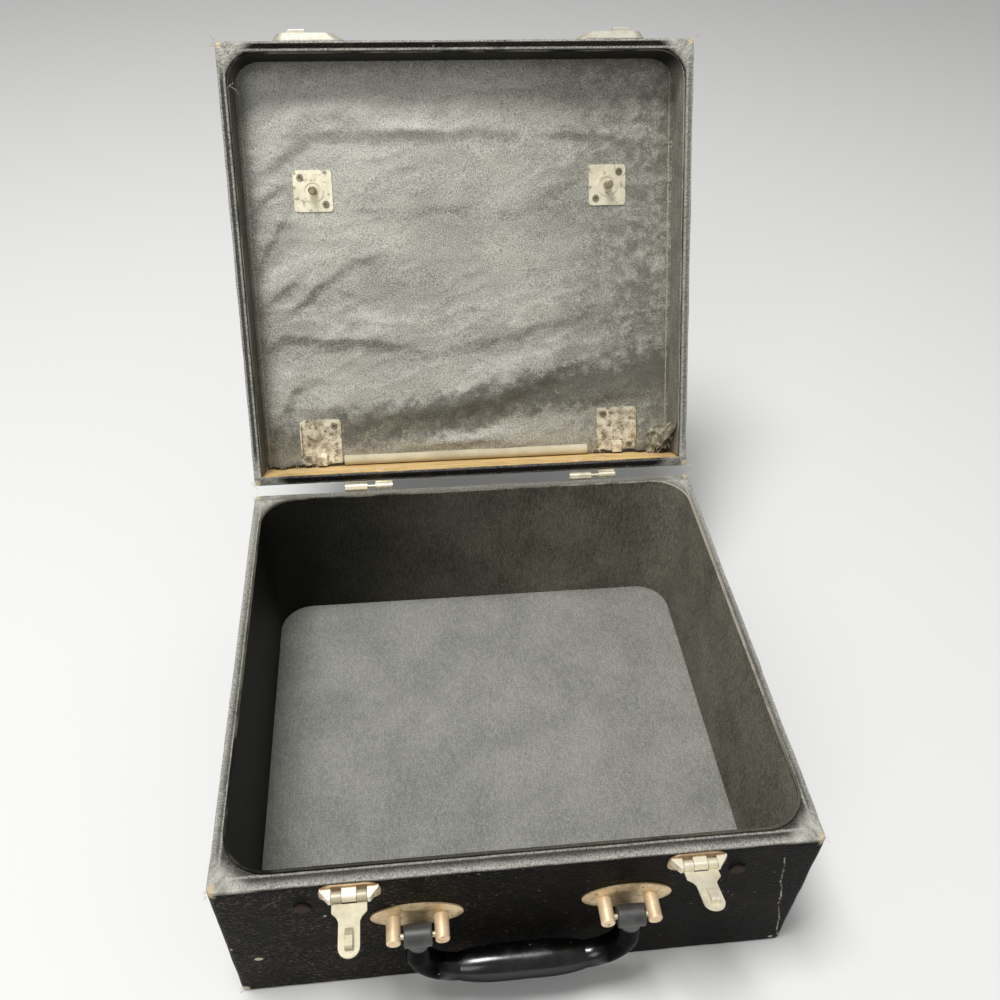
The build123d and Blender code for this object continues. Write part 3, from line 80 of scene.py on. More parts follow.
# Rounded edges of the covering, from the face to the wall: how far inside the outline, the radius of
# the corners and how far from the face, in millimetres
FOOT_EDGE = ((1.3, 2.4, 0.0), (0.4, 3.1, 0.4))
RIM_EDGE = ((1.5, 2.6, 0.0), (0.45, 3.1, 0.5))
TOP_EDGE = ((6.0, 2.0, 0.0), (2.2, 2.2, 0.0), (0.6, 3.1, 0.7))

# Steps of the meshes
CORNER_STEPS = 10
SIDE_CUTS = (64, 60)
LINER_STEPS = (215, 200)

# View, light and the floor that the case stands on
CAMERA_PLACE = (-52.25 * MM, -404.49 * MM, 613.29 * MM)
CAMERA_YAW = math.radians(7.279)
CAMERA_PITCH = math.radians(41.89)
CAMERA_ROLL = math.radians(1.879)
CAMERA_LENS = 34.667
SURROUND_STRENGTH = 0.3
STAGE_COLOUR = (0.82, 0.82, 0.81)
STAGE_HALF = 6.0
STAGE_GAP = 0.2 * MM


# Meshes


def ring(mesh, half, radii, z):
    """A closed edge loop round a rectangle whose front and rear corners are rounded."""
    corners = []
    for sign_x, sign_y in ((-1, -1), (1, -1), (1, 1), (-1, 1)):
        corners.append(mesh.verts.new((sign_x * half[0], sign_y * half[1], z)))
    mesh.faces.new(corners)
    for chosen, radius in ((corners[:2], radii[0]), (corners[2:], radii[1])):
        rounding = {"segments": CORNER_STEPS, "profile": 0.5, "affect": "VERTICES", "material": -1}
        bmesh.ops.bevel(mesh, geom=chosen, offset=radius, **rounding)
    bmesh.ops.delete(mesh, geom=mesh.faces[:], context="FACES_ONLY")
    sides = [[], []]
    for edge in mesh.edges:
        along = edge.verts[1].co - edge.verts[0].co
        for axis in (0, 1):
            if abs(along[axis]) > 1.8 * (half[axis] - max(radii)):
                sides[axis].append(edge)
    for long_edges, cuts in zip(sides, SIDE_CUTS):
        bmesh.ops.subdivide_edges(mesh, edges=long_edges, cuts=cuts)


def shell(stations, closed=False):
    """A skin through rings one above another. A station is (half sizes, corner radii, height)."""
    mesh = bmesh.new()
    ring(mesh, *stations[0])
    edges = mesh.edges[:]
    for old, new in zip(stations, stations[1:]):
        made = bmesh.ops.extrude_edge_only(mesh, edges=edges)["geom"]
        for vertex in [part for part in made if isinstance(part, bmesh.types.BMVert)]:
            vertex.co = carried(vertex.co, old, new)
        edges = [part for part in made if isinstance(part, bmesh.types.BMEdge) and part.is_boundary]
    if closed:
        bmesh.ops.contextual_create(mesh, geom=edges)
    bmesh.ops.recalc_face_normals(mesh, faces=mesh.faces)
    return mesh


def carried(place, old, new):
    """Where a point of one station's ring lies on the next station's ring."""
    end = 0 if place.y < 0 else 1
    result = Vector((0, 0, new[2]))
    for axis in (0, 1):
        old_core = old[0][axis] - old[1][end]
        new_core = new[0][axis] - new[1][end]
        core = min(old_core, max(-old_core, place[axis]))
        result[axis] = core * new_core / old_core + (place[axis] - core) * new[1][end] / old[1][end]
    return result


def inset(half, amount):
    """Half sizes made smaller by an amount."""
    return (half[0] - amount, half[1] - amount)


def wander(place, scale, seed):
    """A smooth random value from about -1 to 1 that changes over a distance."""
    return noise.noise(Vector(place) / scale + Vector((seed, seed * 0.37, seed * 0.71)))


def finished(name, mesh, body, material, lid=False, sharp_angle=40):
    """A mesh as a piece of the case that rides on a body."""
    if lid:
        bmesh.ops.transform(mesh, matrix=LID_OPENING, verts=mesh.verts)
    data = bpy.data.meshes.new(name)
    mesh.to_mesh(data)
    mesh.free()
    data.shade_smooth()
    data.set_sharp_from_angle(angle=math.radians(sharp_angle))
    data.materials.append(material)
    piece = bpy.data.objects.new(name, data)
    bpy.context.scene.collection.objects.link(piece)
    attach(piece, body)
    return piece


# Shader parts


class Value:
    """A value, place or colour in a material, so that sums on it read as plain sums."""

    def __init__(self, tree, socket):
        self.tree = tree
        self.socket = socket

    def maths(self, operation, first, second=0.0):
        """The result of a sum on two values."""
        return node(self.tree, "ShaderNodeMath", {0: first, 1: second}, operation=operation)

    def __add__(self, other):
        return self.maths("ADD", self, other)

    def __sub__(self, other):
        return self.maths("SUBTRACT", self, other)

    def __rsub__(self, other):
        return self.maths("SUBTRACT", other, self)

    def __mul__(self, other):
        return self.maths("MULTIPLY", self, other)

    def __abs__(self):
        return self.maths("ABSOLUTE", self)

    __radd__ = __add__
    __rmul__ = __mul__


def node(tree, kind, inputs, *outputs, **settings):
    """One or more outputs of a new node, with its settings made and its inputs set or linked."""
    made = tree.nodes.new(kind)
    for key, value in settings.items():
        setattr(made, key, value)
    for key, value in inputs.items():
        connect(made.inputs[key], value)
    values = [Value(tree, made.outputs[key]) for key in outputs or (0,)]
    return values if len(values) > 1 else values[0]


def connect(socket, value):
    """Links a value to a socket, or sets the socket to a number or colour."""
    if isinstance(value, Value):
        socket.id_data.links.new(value.socket, socket)
    elif socket.type == "RGBA":
        socket.default_value = (*value, 1.0)
    else:
        socket.default_value = value


def start(name, lid):
    """A new material and the place that its patterns follow, on the lid that of the closed lid."""
    material = bpy.data.materials.new(name)
    material.use_nodes = True
    place = node(material.node_tree, "ShaderNodeTexCoord", {}, "Object")
    if lid:
        back = LID_OPENING.inverted()
        turn = {"Vector": place, "Location": back.to_translation(), "Rotation": back.to_euler()}
        place = node(place.tree, "ShaderNodeMapping", turn)
    return material, place


def painted(material, base, roughness, normal=None, specular=0.5, metallic=0.0):
    """Sets the surface of a material."""
    sockets = material.node_tree.nodes["Principled BSDF"].inputs
    connect(sockets["Base Color"], base)
    connect(sockets["Roughness"], roughness)
    connect(sockets["Specular IOR Level"], specular)
    connect(sockets["Metallic"], metallic)
    if normal is not None:
        connect(sockets["Normal"], normal)
    return material


def axes(place):
    """The three parts of a place."""
    return node(place.tree, "ShaderNodeSeparateXYZ", {0: place}, 0, 1, 2)


def stretched(place, scale):
    """A place with its axes scaled, so that a pattern on it is longer one way."""
    return node(place.tree, "ShaderNodeMapping", {"Vector": place, "Scale": scale})


def grain(place, size, detail=4.0, roughness=0.6):
    """Noise from 0 to 1 with blotches of a size in metres."""
    inputs = {"Vector": place, "Scale": 1 / size, "Detail": detail, "Roughness": roughness}
    return node(place.tree, "ShaderNodeTexNoise", inputs, "Fac")


def between(value, low, high):
    """A smooth step from 0 to 1 as a value goes from low to high."""
    inputs = {"Value": value, "From Min": low, "From Max": high}
    return node(value.tree, "ShaderNodeMapRange", inputs, interpolation_type="SMOOTHSTEP")


def blend(share, first, second):
    """A colour between two colours, given in linear values."""
    inputs = {"Factor": share, "A": first, "B": second}
    return node(share.tree, "ShaderNodeMix", inputs, "Result", data_type="RGBA")


def largest(*values):
    """The largest of several values."""
    result = values[0]
    for value in values[1:]:
        result = value.maths("MAXIMUM", result, value)
    return result


def smallest(first, second):
    """The smaller of two values."""
    return first.maths("MINIMUM", first, second)


def relief(height, distance, strength=1.0, normal=None):
    """A bump of a height in metres, on top of another one."""
    inputs = {"Height": height, "Distance": distance, "Strength": strength}
    if normal is not None:
        inputs["Normal"] = normal
    return node(height.tree, "ShaderNodeBump", inputs)


def pebbles(place, size):
    """The height of a leather-like grain of small rounded cells."""
    inputs = {"Vector": place, "Scale": 1 / size, "Randomness": 1.0}
    return between(node(place.tree, "ShaderNodeTexVoronoi", inputs, "Distance"), 0.75, 0.1)


def specks(place, size, amount):
    """Scattered small ragged spots: 1 in a spot and 0 elsewhere."""
    tree = place.tree
    stray = node(tree, "ShaderNodeTexNoise", {"Vector": place, "Scale": 2 / size, "Detail": 3.0}, "Color")
    inputs = {0: stray, 1: (0.8 * size, 0.8 * size, 0.8 * size), 2: place}
    moved = node(tree, "ShaderNodeVectorMath", inputs, operation="MULTIPLY_ADD")
    inputs = {"Vector": moved, "Scale": 1 / size, "Randomness": 1.0}
    distance, tint = node(tree, "ShaderNodeTexVoronoi", inputs, "Distance", "Color")
    chance, spread = node(tree, "ShaderNodeSeparateColor", {0: tint}, 0, 1)
    near = between(distance - 0.2 * spread, 0.12, 0.02)
    return near * chance.maths("GREATER_THAN", chance, 1 - amount)


def mark(place, centre, radius, ragged):
    """1 inside a ragged spot round a point and 0 outside."""
    gap = node(place.tree, "ShaderNodeVectorMath", {0: place, 1: centre}, "Value", operation="DISTANCE")
    return between(gap + radius * ragged, 1.6 * radius, 1.1 * radius)


# Leatherette

# How a pebble of the leatherette is stretched: wider across than tall
PEBBLE_STRETCH = (0.6, 0.6, 1.0)


def rim_distances(place, lid):
    """How far a place is inside the covering's sides, inside its ends and away from its rim."""
    x, y, z = axes(place)
    return WIDTH / 2 - abs(x), DEPTH / 2 - abs(y), z - LID_RIM if lid else BASE_TOP - z


def edge_wear(place, lid, ragged, broad, fine):
    """Where the covering is worn pale: along its rim, its upright edges and its far edges."""
    z = axes(place)[2]
    from_side, from_end, from_rim = rim_distances(place, lid)
    nearest_wall = smallest(from_side, from_end)
    reach = 2.0 * MM * ragged + 2.4 * MM * broad - 2.2 * MM
    band_width = 1.7 * MM if lid else 5.6 * MM
    outer_band = between(nearest_wall - reach, band_width, 0.2 * MM) * between(from_rim, 2.0 * MM, 0.5 * MM)
    over_edge = between(from_rim - reach, 1.1 * MM, 0.2 * MM) * between(nearest_wall, 2.0 * MM, 1.0 * MM)
    inside = LID_INSIDE if lid else BASE_INSIDE
    from_mouth = largest(WIDTH / 2 - inside[0] - from_side, DEPTH / 2 - inside[1] - from_end)
    inner_line = between(abs(from_mouth - 0.5 * MM), 1.2 * MM, 0.3 * MM)
    inner_line = inner_line * between(from_rim, 4.6 * MM, 3.0 * MM)
    inner_line = inner_line * between(broad, 0.2, 0.5) * between(ragged, 0.2, 0.5)
    upright = between(largest(from_side, from_end) - reach, 1.0 * MM, 0.0)
    from_other = LID_TOP - z if lid else z
    other = between(largest(nearest_wall, from_other) - reach, 0.7 * MM, 0.0)
    wear = largest(outer_band, over_edge, 0.6 * largest(upright, other), 0.85 * inner_line)
    return wear * (0.35 + 0.65 * between(fine, 0.34, 0.62))


def corner_web(place, lid, ragged):
    """The pleated covering across a rim's corner: where it is, and its pleats."""
    x, y, z = axes(place)
    from_side, from_end, from_rim = rim_distances(place, lid)
    corner_sum = from_side + from_end
    web = between(corner_sum + 10 * MM * ragged, 34 * MM, 22 * MM) * between(from_rim, 3.0 * MM, 0.8 * MM)
    inside = LID_INSIDE if lid else BASE_INSIDE
    rise, run = abs(y) - (inside[1] - 22 * MM), abs(x) - (inside[0] - 22 * MM)
    angle = rise.maths("ARCTAN2", rise, run)
    fan = node(place.tree, "ShaderNodeCombineXYZ", {0: 4.5 * angle, 1: 40.0 * corner_sum})
    return web, grain(fan, 1.0, 4.0, 0.65)


def rubbed_black(place, lid, broad, mottle, on_rim):
    """The covering's black, brown where it is stained and flecked where it is rubbed, most at the left."""
    x, y, z = axes(place)
    stain = between(grain(place, 30 * MM, 6.0, 0.7), 0.5, 0.7)
    base = blend(stain, (0.0035, 0.0031, 0.0024), (0.022, 0.0135, 0.008))
    rubbed = (1 - 0.88 * between(x, -110 * MM, 60 * MM)) * (0.55 + 0.6 * between(broad, 0.36, 0.64))
    off_front = 1.0 if lid else between(y, 2 * MM - DEPTH / 2, 30 * MM - DEPTH / 2)
    rubbed = rubbed * (1 - 0.7 * on_rim) * (1 - 0.6 * off_front)
    base = blend(0.9 * mottle * rubbed, base, (0.088, 0.066, 0.04))
    flecks = between(grain(stretched(place, PEBBLE_STRETCH), 1.3 * MM, 2.0, 0.5), 0.62, 0.74)
    flecks = flecks * (0.3 + between(broad, 0.42, 0.62)) * rubbed
    return blend(0.8 * flecks, base, (0.3, 0.25, 0.18))


def rim_paint(base, place, lid, fine, on_rim):
    """Grey rims over a base colour: pale to the right on the lid, and to the rear on the base."""
    x, y, z = axes(place)
    from_side, from_end, _ = rim_distances(place, lid)
    if lid:
        paler = between(x, -60 * MM, 150 * MM)
        share = 0.04 + between(from_end - from_side, 0.0, 8 * MM)
    else:
        paler = between(y, -20 * MM, 130 * MM)
        share = 0.95
    grey = blend(paler, (0.085, 0.082, 0.073), (0.26, 0.25, 0.21))
    return blend(on_rim * share * (0.4 + 0.6 * between(fine, 0.36, 0.6)), base, grey)


def leatherette(name, lid):
    """Black pebbled leatherette: pale along its rims and corners, stained, scuffed and specked."""
    material, place = start(name, lid)
    from_side, from_end, from_rim = rim_distances(place, lid)
    ragged = grain(place, 3.2 * MM, 6.0, 0.7)
    broad = grain(place, 26 * MM, 4.0, 0.6)
    fine = grain(place, 0.9 * MM, 3.0, 0.7)
    pebble_place = stretched(place, PEBBLE_STRETCH)
    mottle = between(grain(pebble_place, 1.9 * MM, 3.0, 0.65), 0.52, 0.68)
    on_rim = between(from_rim, 2.0 * MM, 0.5 * MM)
    at_rear = between(axes(place)[1], DEPTH / 2 - 9 * MM, DEPTH / 2 - 5 * MM)
    base = rubbed_black(place, lid, broad, mottle, on_rim)
    base = rim_paint(base, place, lid, fine, on_rim)
    wear = edge_wear(place, lid, ragged, broad, fine) * (1 - 0.7 * at_rear)
    base = blend(wear, base, (0.5, 0.49, 0.44))
    web, pleat = corner_web(place, lid, ragged)
    web_colour = blend(between(pleat, 0.36, 0.62), (0.27, 0.262, 0.23), (0.52, 0.51, 0.45))
    base = blend(0.92 * web * (1 - 0.5 * at_rear), base, web_colour)
    tip = between(largest(from_side, from_end) + 4 * MM * ragged, 7.4 * MM, 5.0 * MM)
    tip = tip * between(from_rim, 7 * MM, 2 * MM)
    base = blend(tip, base, blend(fine, (0.35, 0.25, 0.13), (0.85, 0.76, 0.55)))
    base = blend(0.45 * specks(place, 3.4 * MM, 0.05), base, (0.36, 0.33, 0.26))
    if not lid:
        base = blend(front_marks(place, from_end, ragged), base, (0.62, 0.57, 0.45))
    bump = relief(pebbles(pebble_place, 0.95 * MM), 0.4 * MM)
    bump = relief(mottle, 0.25 * MM, 1.0, bump)
    bump = relief(grain(place, 0.35 * MM, 2.0), 0.08 * MM, 1.0, bump)
    bump = relief(broad, 0.8 * MM, 0.6, bump)
    bump = relief(pleat * web, 1.8 * MM, 0.7, bump)
    return painted(material, base, 0.44 + 0.3 * largest(wear, web), bump, specular=0.05)


# Scuffs on the front of the base, through the covering: x, height and radius in millimetres
FRONT_SCUFFS = (
    (-152.6, 41.8, 1.9), (-151.0, 41.9, 1.8), (-165.3, 56.8, 1.0), (-166.5, 63.6, 0.8), (-167.0, 28.2, 1.0),
    (-109.8, 87.7, 1.1), (-165.0, 3.0, 3.0), (161.0, 4.5, 1.6), (-60.0, 20.0, 0.7), (120.0, 62.0, 0.6),
)

# The crack down the front's right end: its place at the floor, and how far it leans for each metre of height
CRACK_X = 168.4 * MM
CRACK_LEAN = 0.178


def front_marks(place, from_end, ragged):
    """Pale scuffs on the front of the base, and a crack down its right end."""
    x, y, z = axes(place)
    spots = 0.0
    for mark_x, mark_z, radius in FRONT_SCUFFS:
        centre = (mark_x * MM, -DEPTH / 2, mark_z * MM)
        spots = largest(spots, mark(place, centre, radius * MM, ragged))
    crack = abs(x + CRACK_LEAN * z + 5 * MM * grain(place, 14 * MM, 3.0) - CRACK_X)
    crack = between(crack + 1.6 * MM * ragged, 1.5 * MM, 0.8 * MM)
    crack = crack * between(z, 112 * MM, 104 * MM) * between(grain(place, 5 * MM), 0.4, 0.6)
    return largest(spots, crack) * between(from_end, 2 * MM, 1 * MM) * between(y, 0.0, -0.1)


# Cloth


def floor_dust(x, y):
    """The floor is equally dusty all over."""
    return 1.0


def base_wall_light_and_shade(x, y):
    """Painted light and shade on the base's walls: next to none on the left one, painted as in shade, and
    most on the right one, painted as lit.
    """
    return 0.04 + 0.93 * between(x, -158 * MM, 150 * MM)


def lid_wall_light_and_shade(x, y):
    """Painted light and shade on the lid's walls: next to none on the front one, painted as in shade, and
    more on the right one than the left, painted as lit from the left.
    """
    sides = 0.5 + 0.5 * between(x, -100 * MM, 100 * MM)
    return 0.02 + between(y, -146 * MM, -132 * MM) * sides


def frayed_edge(place, lid, edge, blotches, frayed_share):
    """The pale frayed edge of a lining at a height, clearest at the right and rear of the base."""
    x, y, z = axes(place)
    right_rear = 0.0 if lid else between(x, 40 * MM, 130 * MM) * (1 - between(y, -60 * MM, -120 * MM))
    line = between(abs(z - edge + 0.8 * MM * blotches), 1.0 * MM, 0.2 * MM)
    return line * between(blotches, 0.1, 0.5) * (frayed_share + 0.7 * right_rear)


def lining_cloth(name, dark, light, lid, stretch, lit_and_dusty, edge, gloss=0.3, frayed_share=0.55):
    """Cloth glued on a wall or floor: streaked, lightened by a share that its caller gives (dusting on the
    floor, painted light and shade on the walls), and pale along its edge at a height.
    """
    material, place = start(name, lid)
    x, y, z = axes(place)
    streaks = between(grain(stretched(place, stretch), 1.6 * MM, 6.0, 0.7), 0.3, 0.78)
    blotches = between(grain(place, 45 * MM, 5.0, 0.6), 0.3, 0.72)
    fine = grain(place, 0.9 * MM, 3.0, 0.8)
    # The share lightens the cloth: on the walls it is painted light and shade, on the floor even dusting
    dust_and_light = lit_and_dusty(x, y)
    base = blend((0.16 + 0.42 * streaks + 0.28 * blotches) * dust_and_light, dark, light)
    base = blend(0.5 * between(fine, 0.5, 0.64) * dust_and_light, base, light)
    base = blend(0.6 * between(fine, 0.5, 0.38), base, dark)
    base = blend(0.6 * specks(place, 1.8 * MM, 0.16) * dust_and_light, base, (0.5, 0.47, 0.38))
    base = blend(frayed_edge(place, lid, edge, blotches, frayed_share), base, (0.4, 0.37, 0.29))
    if not lid:
        at_front = between(y, -60 * MM, -120 * MM)
        base = blend(0.6 * between(z, BASE_TOP - 1 * MM, BASE_TOP + 0.5 * MM) * at_front, base, dark)
    bump = relief(fine, 0.15 * MM)
    bump = relief(streaks, 0.25 * MM, 0.6, bump)
    bump = relief(blotches, 1.0 * MM, 0.4, bump)
    return painted(material, base, 0.55, bump, specular=gloss)


def liner_zones(base, place, ragged):
    """The liner's broad zones over its base colour, some of them painted light and shade, and how dirty and
    shaded each place is.
    """
    x, y, z = axes(place)
    waved = y + 50 * MM * (ragged - 0.5) + 0.16 * x
    # Painted light: paler towards the liner's front edge, at the top of the open lid
    high = 0.42 * between(waved, -70 * MM, -100 * MM) * between(x, 90 * MM, 0.0)
    base = blend(high, base, (0.66, 0.655, 0.59))
    # A dark band low on the liner: partly painted shade under a bulge of the cloth, partly dirt
    band = 0.95 * between(waved, 84 * MM, 102 * MM) * between(waved, 132 * MM, 116 * MM)
    base = blend(band, base, (0.085, 0.081, 0.062))
    foot = 0.5 * between(y, 128 * MM, 144 * MM)
    base = blend(foot, base, (0.36, 0.335, 0.24))
    # Painted shade along the walls, darkest next to them
    from_wall = smallest(LID_INSIDE[0] - abs(x), LID_INSIDE[1] - abs(y)) - 26 * MM * ragged
    base = blend(0.6 * between(from_wall, 4 * MM, -12 * MM), base, (0.11, 0.1, 0.073))
    right = between(x, 25 * MM, 150 * MM) * between(ragged, 0.28, 0.64)
    base = blend(0.88 * right, base, (0.105, 0.095, 0.07))
    dirt = between(y, 70 * MM, 145 * MM) * between(grain(place, 8 * MM, 6.0, 0.7), 0.45, 0.66)
    base = blend(0.6 * dirt, base, (0.36, 0.31, 0.21))
    return base, largest(band, 0.8 * right, foot)


def liner_cloth(name):
    """The charcoal cloth of the lid's panel: greyed where dusted, with painted light and shade by slope and
    in broad zones, painted shade at its walls, and darker at the right.
    """
    material, place = start(name, True)
    ragged = grain(place, 10 * MM, 6.0, 0.7)
    fine = grain(place, 1.0 * MM, 4.0, 0.85)
    blotches = between(grain(place, 55 * MM, 5.0, 0.55), 0.34, 0.7)
    base = blend(blotches, (0.31, 0.305, 0.265), (0.47, 0.462, 0.4))
    # Painted light on up-facing slopes and painted shade on down-facing ones, with some dusting
    slope_light_and_dust_share = node(place.tree, "ShaderNodeAttribute", {}, "Fac", attribute_name=SLOPE_LIGHT_AND_DUST)
    base = blend(0.5 * between(slope_light_and_dust_share, 0.5, 0.92), base, (0.6, 0.59, 0.53))
    base = blend(0.62 * between(slope_light_and_dust_share, 0.5, 0.08), base, (0.09, 0.087, 0.072))
    base, soiled_and_shaded = liner_zones(base, place, ragged)
    base = blend(0.76 * between(fine, 0.5, 0.39), base, (0.1, 0.097, 0.076))
    base = blend(between(fine, 0.5, 0.61) * (0.56 - 0.42 * soiled_and_shaded), base, (0.78, 0.765, 0.65))
    scuffed = between(grain(place, 30 * MM, 5.0, 0.75), 0.5, 0.62)
    lint = specks(place, 1.8 * MM, 0.16) * (0.2 + 0.45 * scuffed)
    base = blend(lint, base, (0.68, 0.665, 0.57))
    from_fringe = abs(LID_INSIDE[0] - abs(axes(place)[0]) - (3 * MM + 2 * MM * ragged))
    fringe = between(from_fringe, 0.7 * MM, 0.2 * MM) * between(fine, 0.35, 0.6)
    base = blend(0.8 * fringe, base, (0.6, 0.57, 0.44))
    rust = mark(place, (-157 * MM, 28 * MM, LINER_FACE), 5 * MM, ragged)
    base = blend(0.35 * rust, base, (0.26, 0.15, 0.07))
    bump = relief(fine, 0.16 * MM)
    bump = relief(grain(place, 9 * MM, 5.0, 0.6), 0.7 * MM, 0.6, bump)
    return painted(material, base, 0.42, bump, specular=0.6)


def plain_cloth(name, dark, light, lid, size):
    """A small strip of cloth, with dirt in patches of a size."""
    material, place = start(name, lid)
    base = blend(between(grain(place, size, 5.0, 0.65), 0.35, 0.7), dark, light)
    base = blend(0.3 * between(grain(place, 0.8 * MM, 3.0), 0.4, 0.7), base, dark)
    bump = relief(grain(place, 0.8 * MM, 2.0), 0.15 * MM)
    return painted(material, base, 0.8, bump, specular=0.2)


# Wood, metal and moulding


def bare_wood(name, lid):
    """Old soft wood with its grain along X, yellowed and marked."""
    material, place = start(name, lid)
    long_place = stretched(place, (0.05, 1.0, 1.0))
    bands = between(grain(long_place, 2.4 * MM, 5.0, 0.6), 0.35, 0.7)
    base = blend(bands, (0.86, 0.63, 0.29), (0.66, 0.41, 0.15))
    fibre = between(grain(long_place, 0.5 * MM, 3.0), 0.4, 0.75)
    base = blend(0.35 * fibre, base, (0.42, 0.24, 0.09))
    dirt = between(grain(stretched(place, (0.4, 1.0, 1.0)), 9 * MM, 5.0, 0.6), 0.46, 0.74)
    base = blend(0.6 * dirt, base, (0.34, 0.22, 0.1))
    return painted(material, base, 0.62, relief(fibre, 0.12 * MM))


def aged_metal(name, clean, dull, stain, staining, roughness, pit, metallic, lid):
    """Plated metal gone dull, with clouds of stain and dark pits. Staining is from 0 to 1."""
    material, place = start(name, lid)
    cloud = between(grain(place, 7 * MM, 5.0, 0.65), 0.36, 0.68)
    eaten = grain(place, 5 * MM, 5.0, 0.62)
    patches = between(eaten, 0.76 - staining * 0.34, 0.84 - staining * 0.26)
    patches = patches * between(grain(place, pit, 5.0, 0.75), 0.3, 0.62)
    pits = between(grain(place, pit, 4.0, 0.7), 0.66, 0.74)
    pits = pits * between(eaten, 0.58 - staining * 0.2, 0.72 - staining * 0.2)
    marks = largest(patches, pits)
    base = blend(marks, blend(cloud, clean, dull), stain)
    bump = relief(grain(place, 1.1 * MM, 4.0), 0.1 * MM, 0.7)
    bump = relief(marks, -0.08 * MM, 0.8, bump)
    return painted(material, base, roughness + 0.3 * marks, bump, metallic=metallic)


def stained_plate_metal(name):
    """The hasps' plates: cream from about 2 mm off the covering and brown nearer to it."""
    material, place = start(name, False)
    off_front = -DEPTH / 2 - axes(place)[1]
    cloud = grain(place, 3 * MM, 5.0, 0.7)
    clean = between(off_front + 1.4 * MM * cloud, 1.6 * MM, 2.6 * MM)
    base = blend(cloud, (0.3, 0.17, 0.08), (0.55, 0.4, 0.22))
    base = blend(clean, base, (0.86, 0.8, 0.62))
    return painted(material, base, 0.4, relief(cloud, 0.15 * MM, 0.7), metallic=0.5)


def moulded_black(name):
    """The handle: glossy on top of its grip, worn on its arms and below, and greyed at its pins."""
    material, place = start(name, False)
    x, y, z = axes(place)
    rub = between(grain(place, 14 * MM, 5.0, 0.65), 0.42, 0.7)
    base = blend(rub, (0.0018, 0.0018, 0.002), (0.005, 0.0048, 0.0045))
    base = blend(0.35 * specks(place, 3.0 * MM, 0.06), base, (0.3, 0.28, 0.24))
    barrels = between(z, 73 * MM, 76 * MM)
    base = blend(barrels * (0.4 + 0.6 * rub), base, (0.075, 0.075, 0.072))
    arms = between(abs(x), 40 * MM, 50 * MM)
    underneath = between(z, 42 * MM, 36 * MM)
    worn = largest(arms, underneath) * (1 - barrels)
    bump = relief(grain(place, 5 * MM, 3.0), 0.14 * MM, 0.35)
    bump = relief(grain(place, 0.5 * MM, 3.0), 0.02 * MM, 0.5, bump)
    return painted(material, base, 0.19 + 0.12 * rub + 0.28 * barrels, bump, specular=0.75 - 0.74 * worn)


# Leatherette pieces


def uneven(mesh, amount, scale, seed):
    """Moves each point a little along its normal, as glued cloth lies over old boards."""
    mesh.normal_update()
    moves = []
    for vertex in mesh.verts:
        moves.append(vertex.normal * amount * wander(vertex.co, scale, seed))
    for vertex, move in zip(mesh.verts, moves):
        vertex.co += move


def levels(low, high, count):
    """Heights spread evenly between two heights."""
    return [low + (high - low) * step / (count - 1) for step in range(count)]


def rounded_edge(profile, face, upwards):
    """Rings round a rounded edge of the covering, from its face to its wall."""
    stations = []
    for amount, radius, height in profile:
        z = face + height * MM if upwards else face - height * MM
        stations.append((inset(OUTLINE, amount * MM), (radius * MM, radius * MM), z))
    return stations


def wall_rings(low, high, count):
    """Rings up a wall of the covering."""
    return [(OUTLINE, (CORNER, CORNER), z) for z in levels(low, high, count)]


def half_way(first, second):
    """Half sizes in the middle between two others."""
    return ((first[0] + second[0]) / 2, (first[1] + second[1]) / 2)


def base_leatherette():
    """The covering of the base, from its turned edge underneath up and over the rim."""
    stations = [(inset(OUTLINE, UNDERSIDE_FOLD), (CORNER, CORNER), 0.0)]
    stations += rounded_edge(FOOT_EDGE, 0.0, True)
    stations += wall_rings(1.4 * MM, BASE_TOP - 1.7 * MM, 18)
    stations += reversed(rounded_edge(RIM_EDGE, BASE_TOP, False))
    mouth = (BASE_LINING_CORNER, BASE_LINING_CORNER)
    middle = half_way(OUTLINE, BASE_INSIDE)
    stations.append(((middle[0] - 0.3 * MM, middle[1]), (12 * MM, 12 * MM), BASE_TOP + 0.1 * MM))
    stations.append((BASE_INSIDE, mouth, BASE_TOP))
    stations.append((BASE_INSIDE, mouth, BASE_TOP - 1.6 * MM))
    mesh = shell(stations)
    uneven(mesh, 0.35 * MM, 26 * MM, 3)
    uneven(mesh, 0.2 * MM, 5 * MM, 8)
    for vertex in mesh.verts:
        vertex.co.z = max(vertex.co.z, 0.02 * MM)
    material = leatherette("worn_leatherette_base", False)
    piece = finished("base_leatherette", mesh, "base", material)
    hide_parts("base_covering")
    return piece


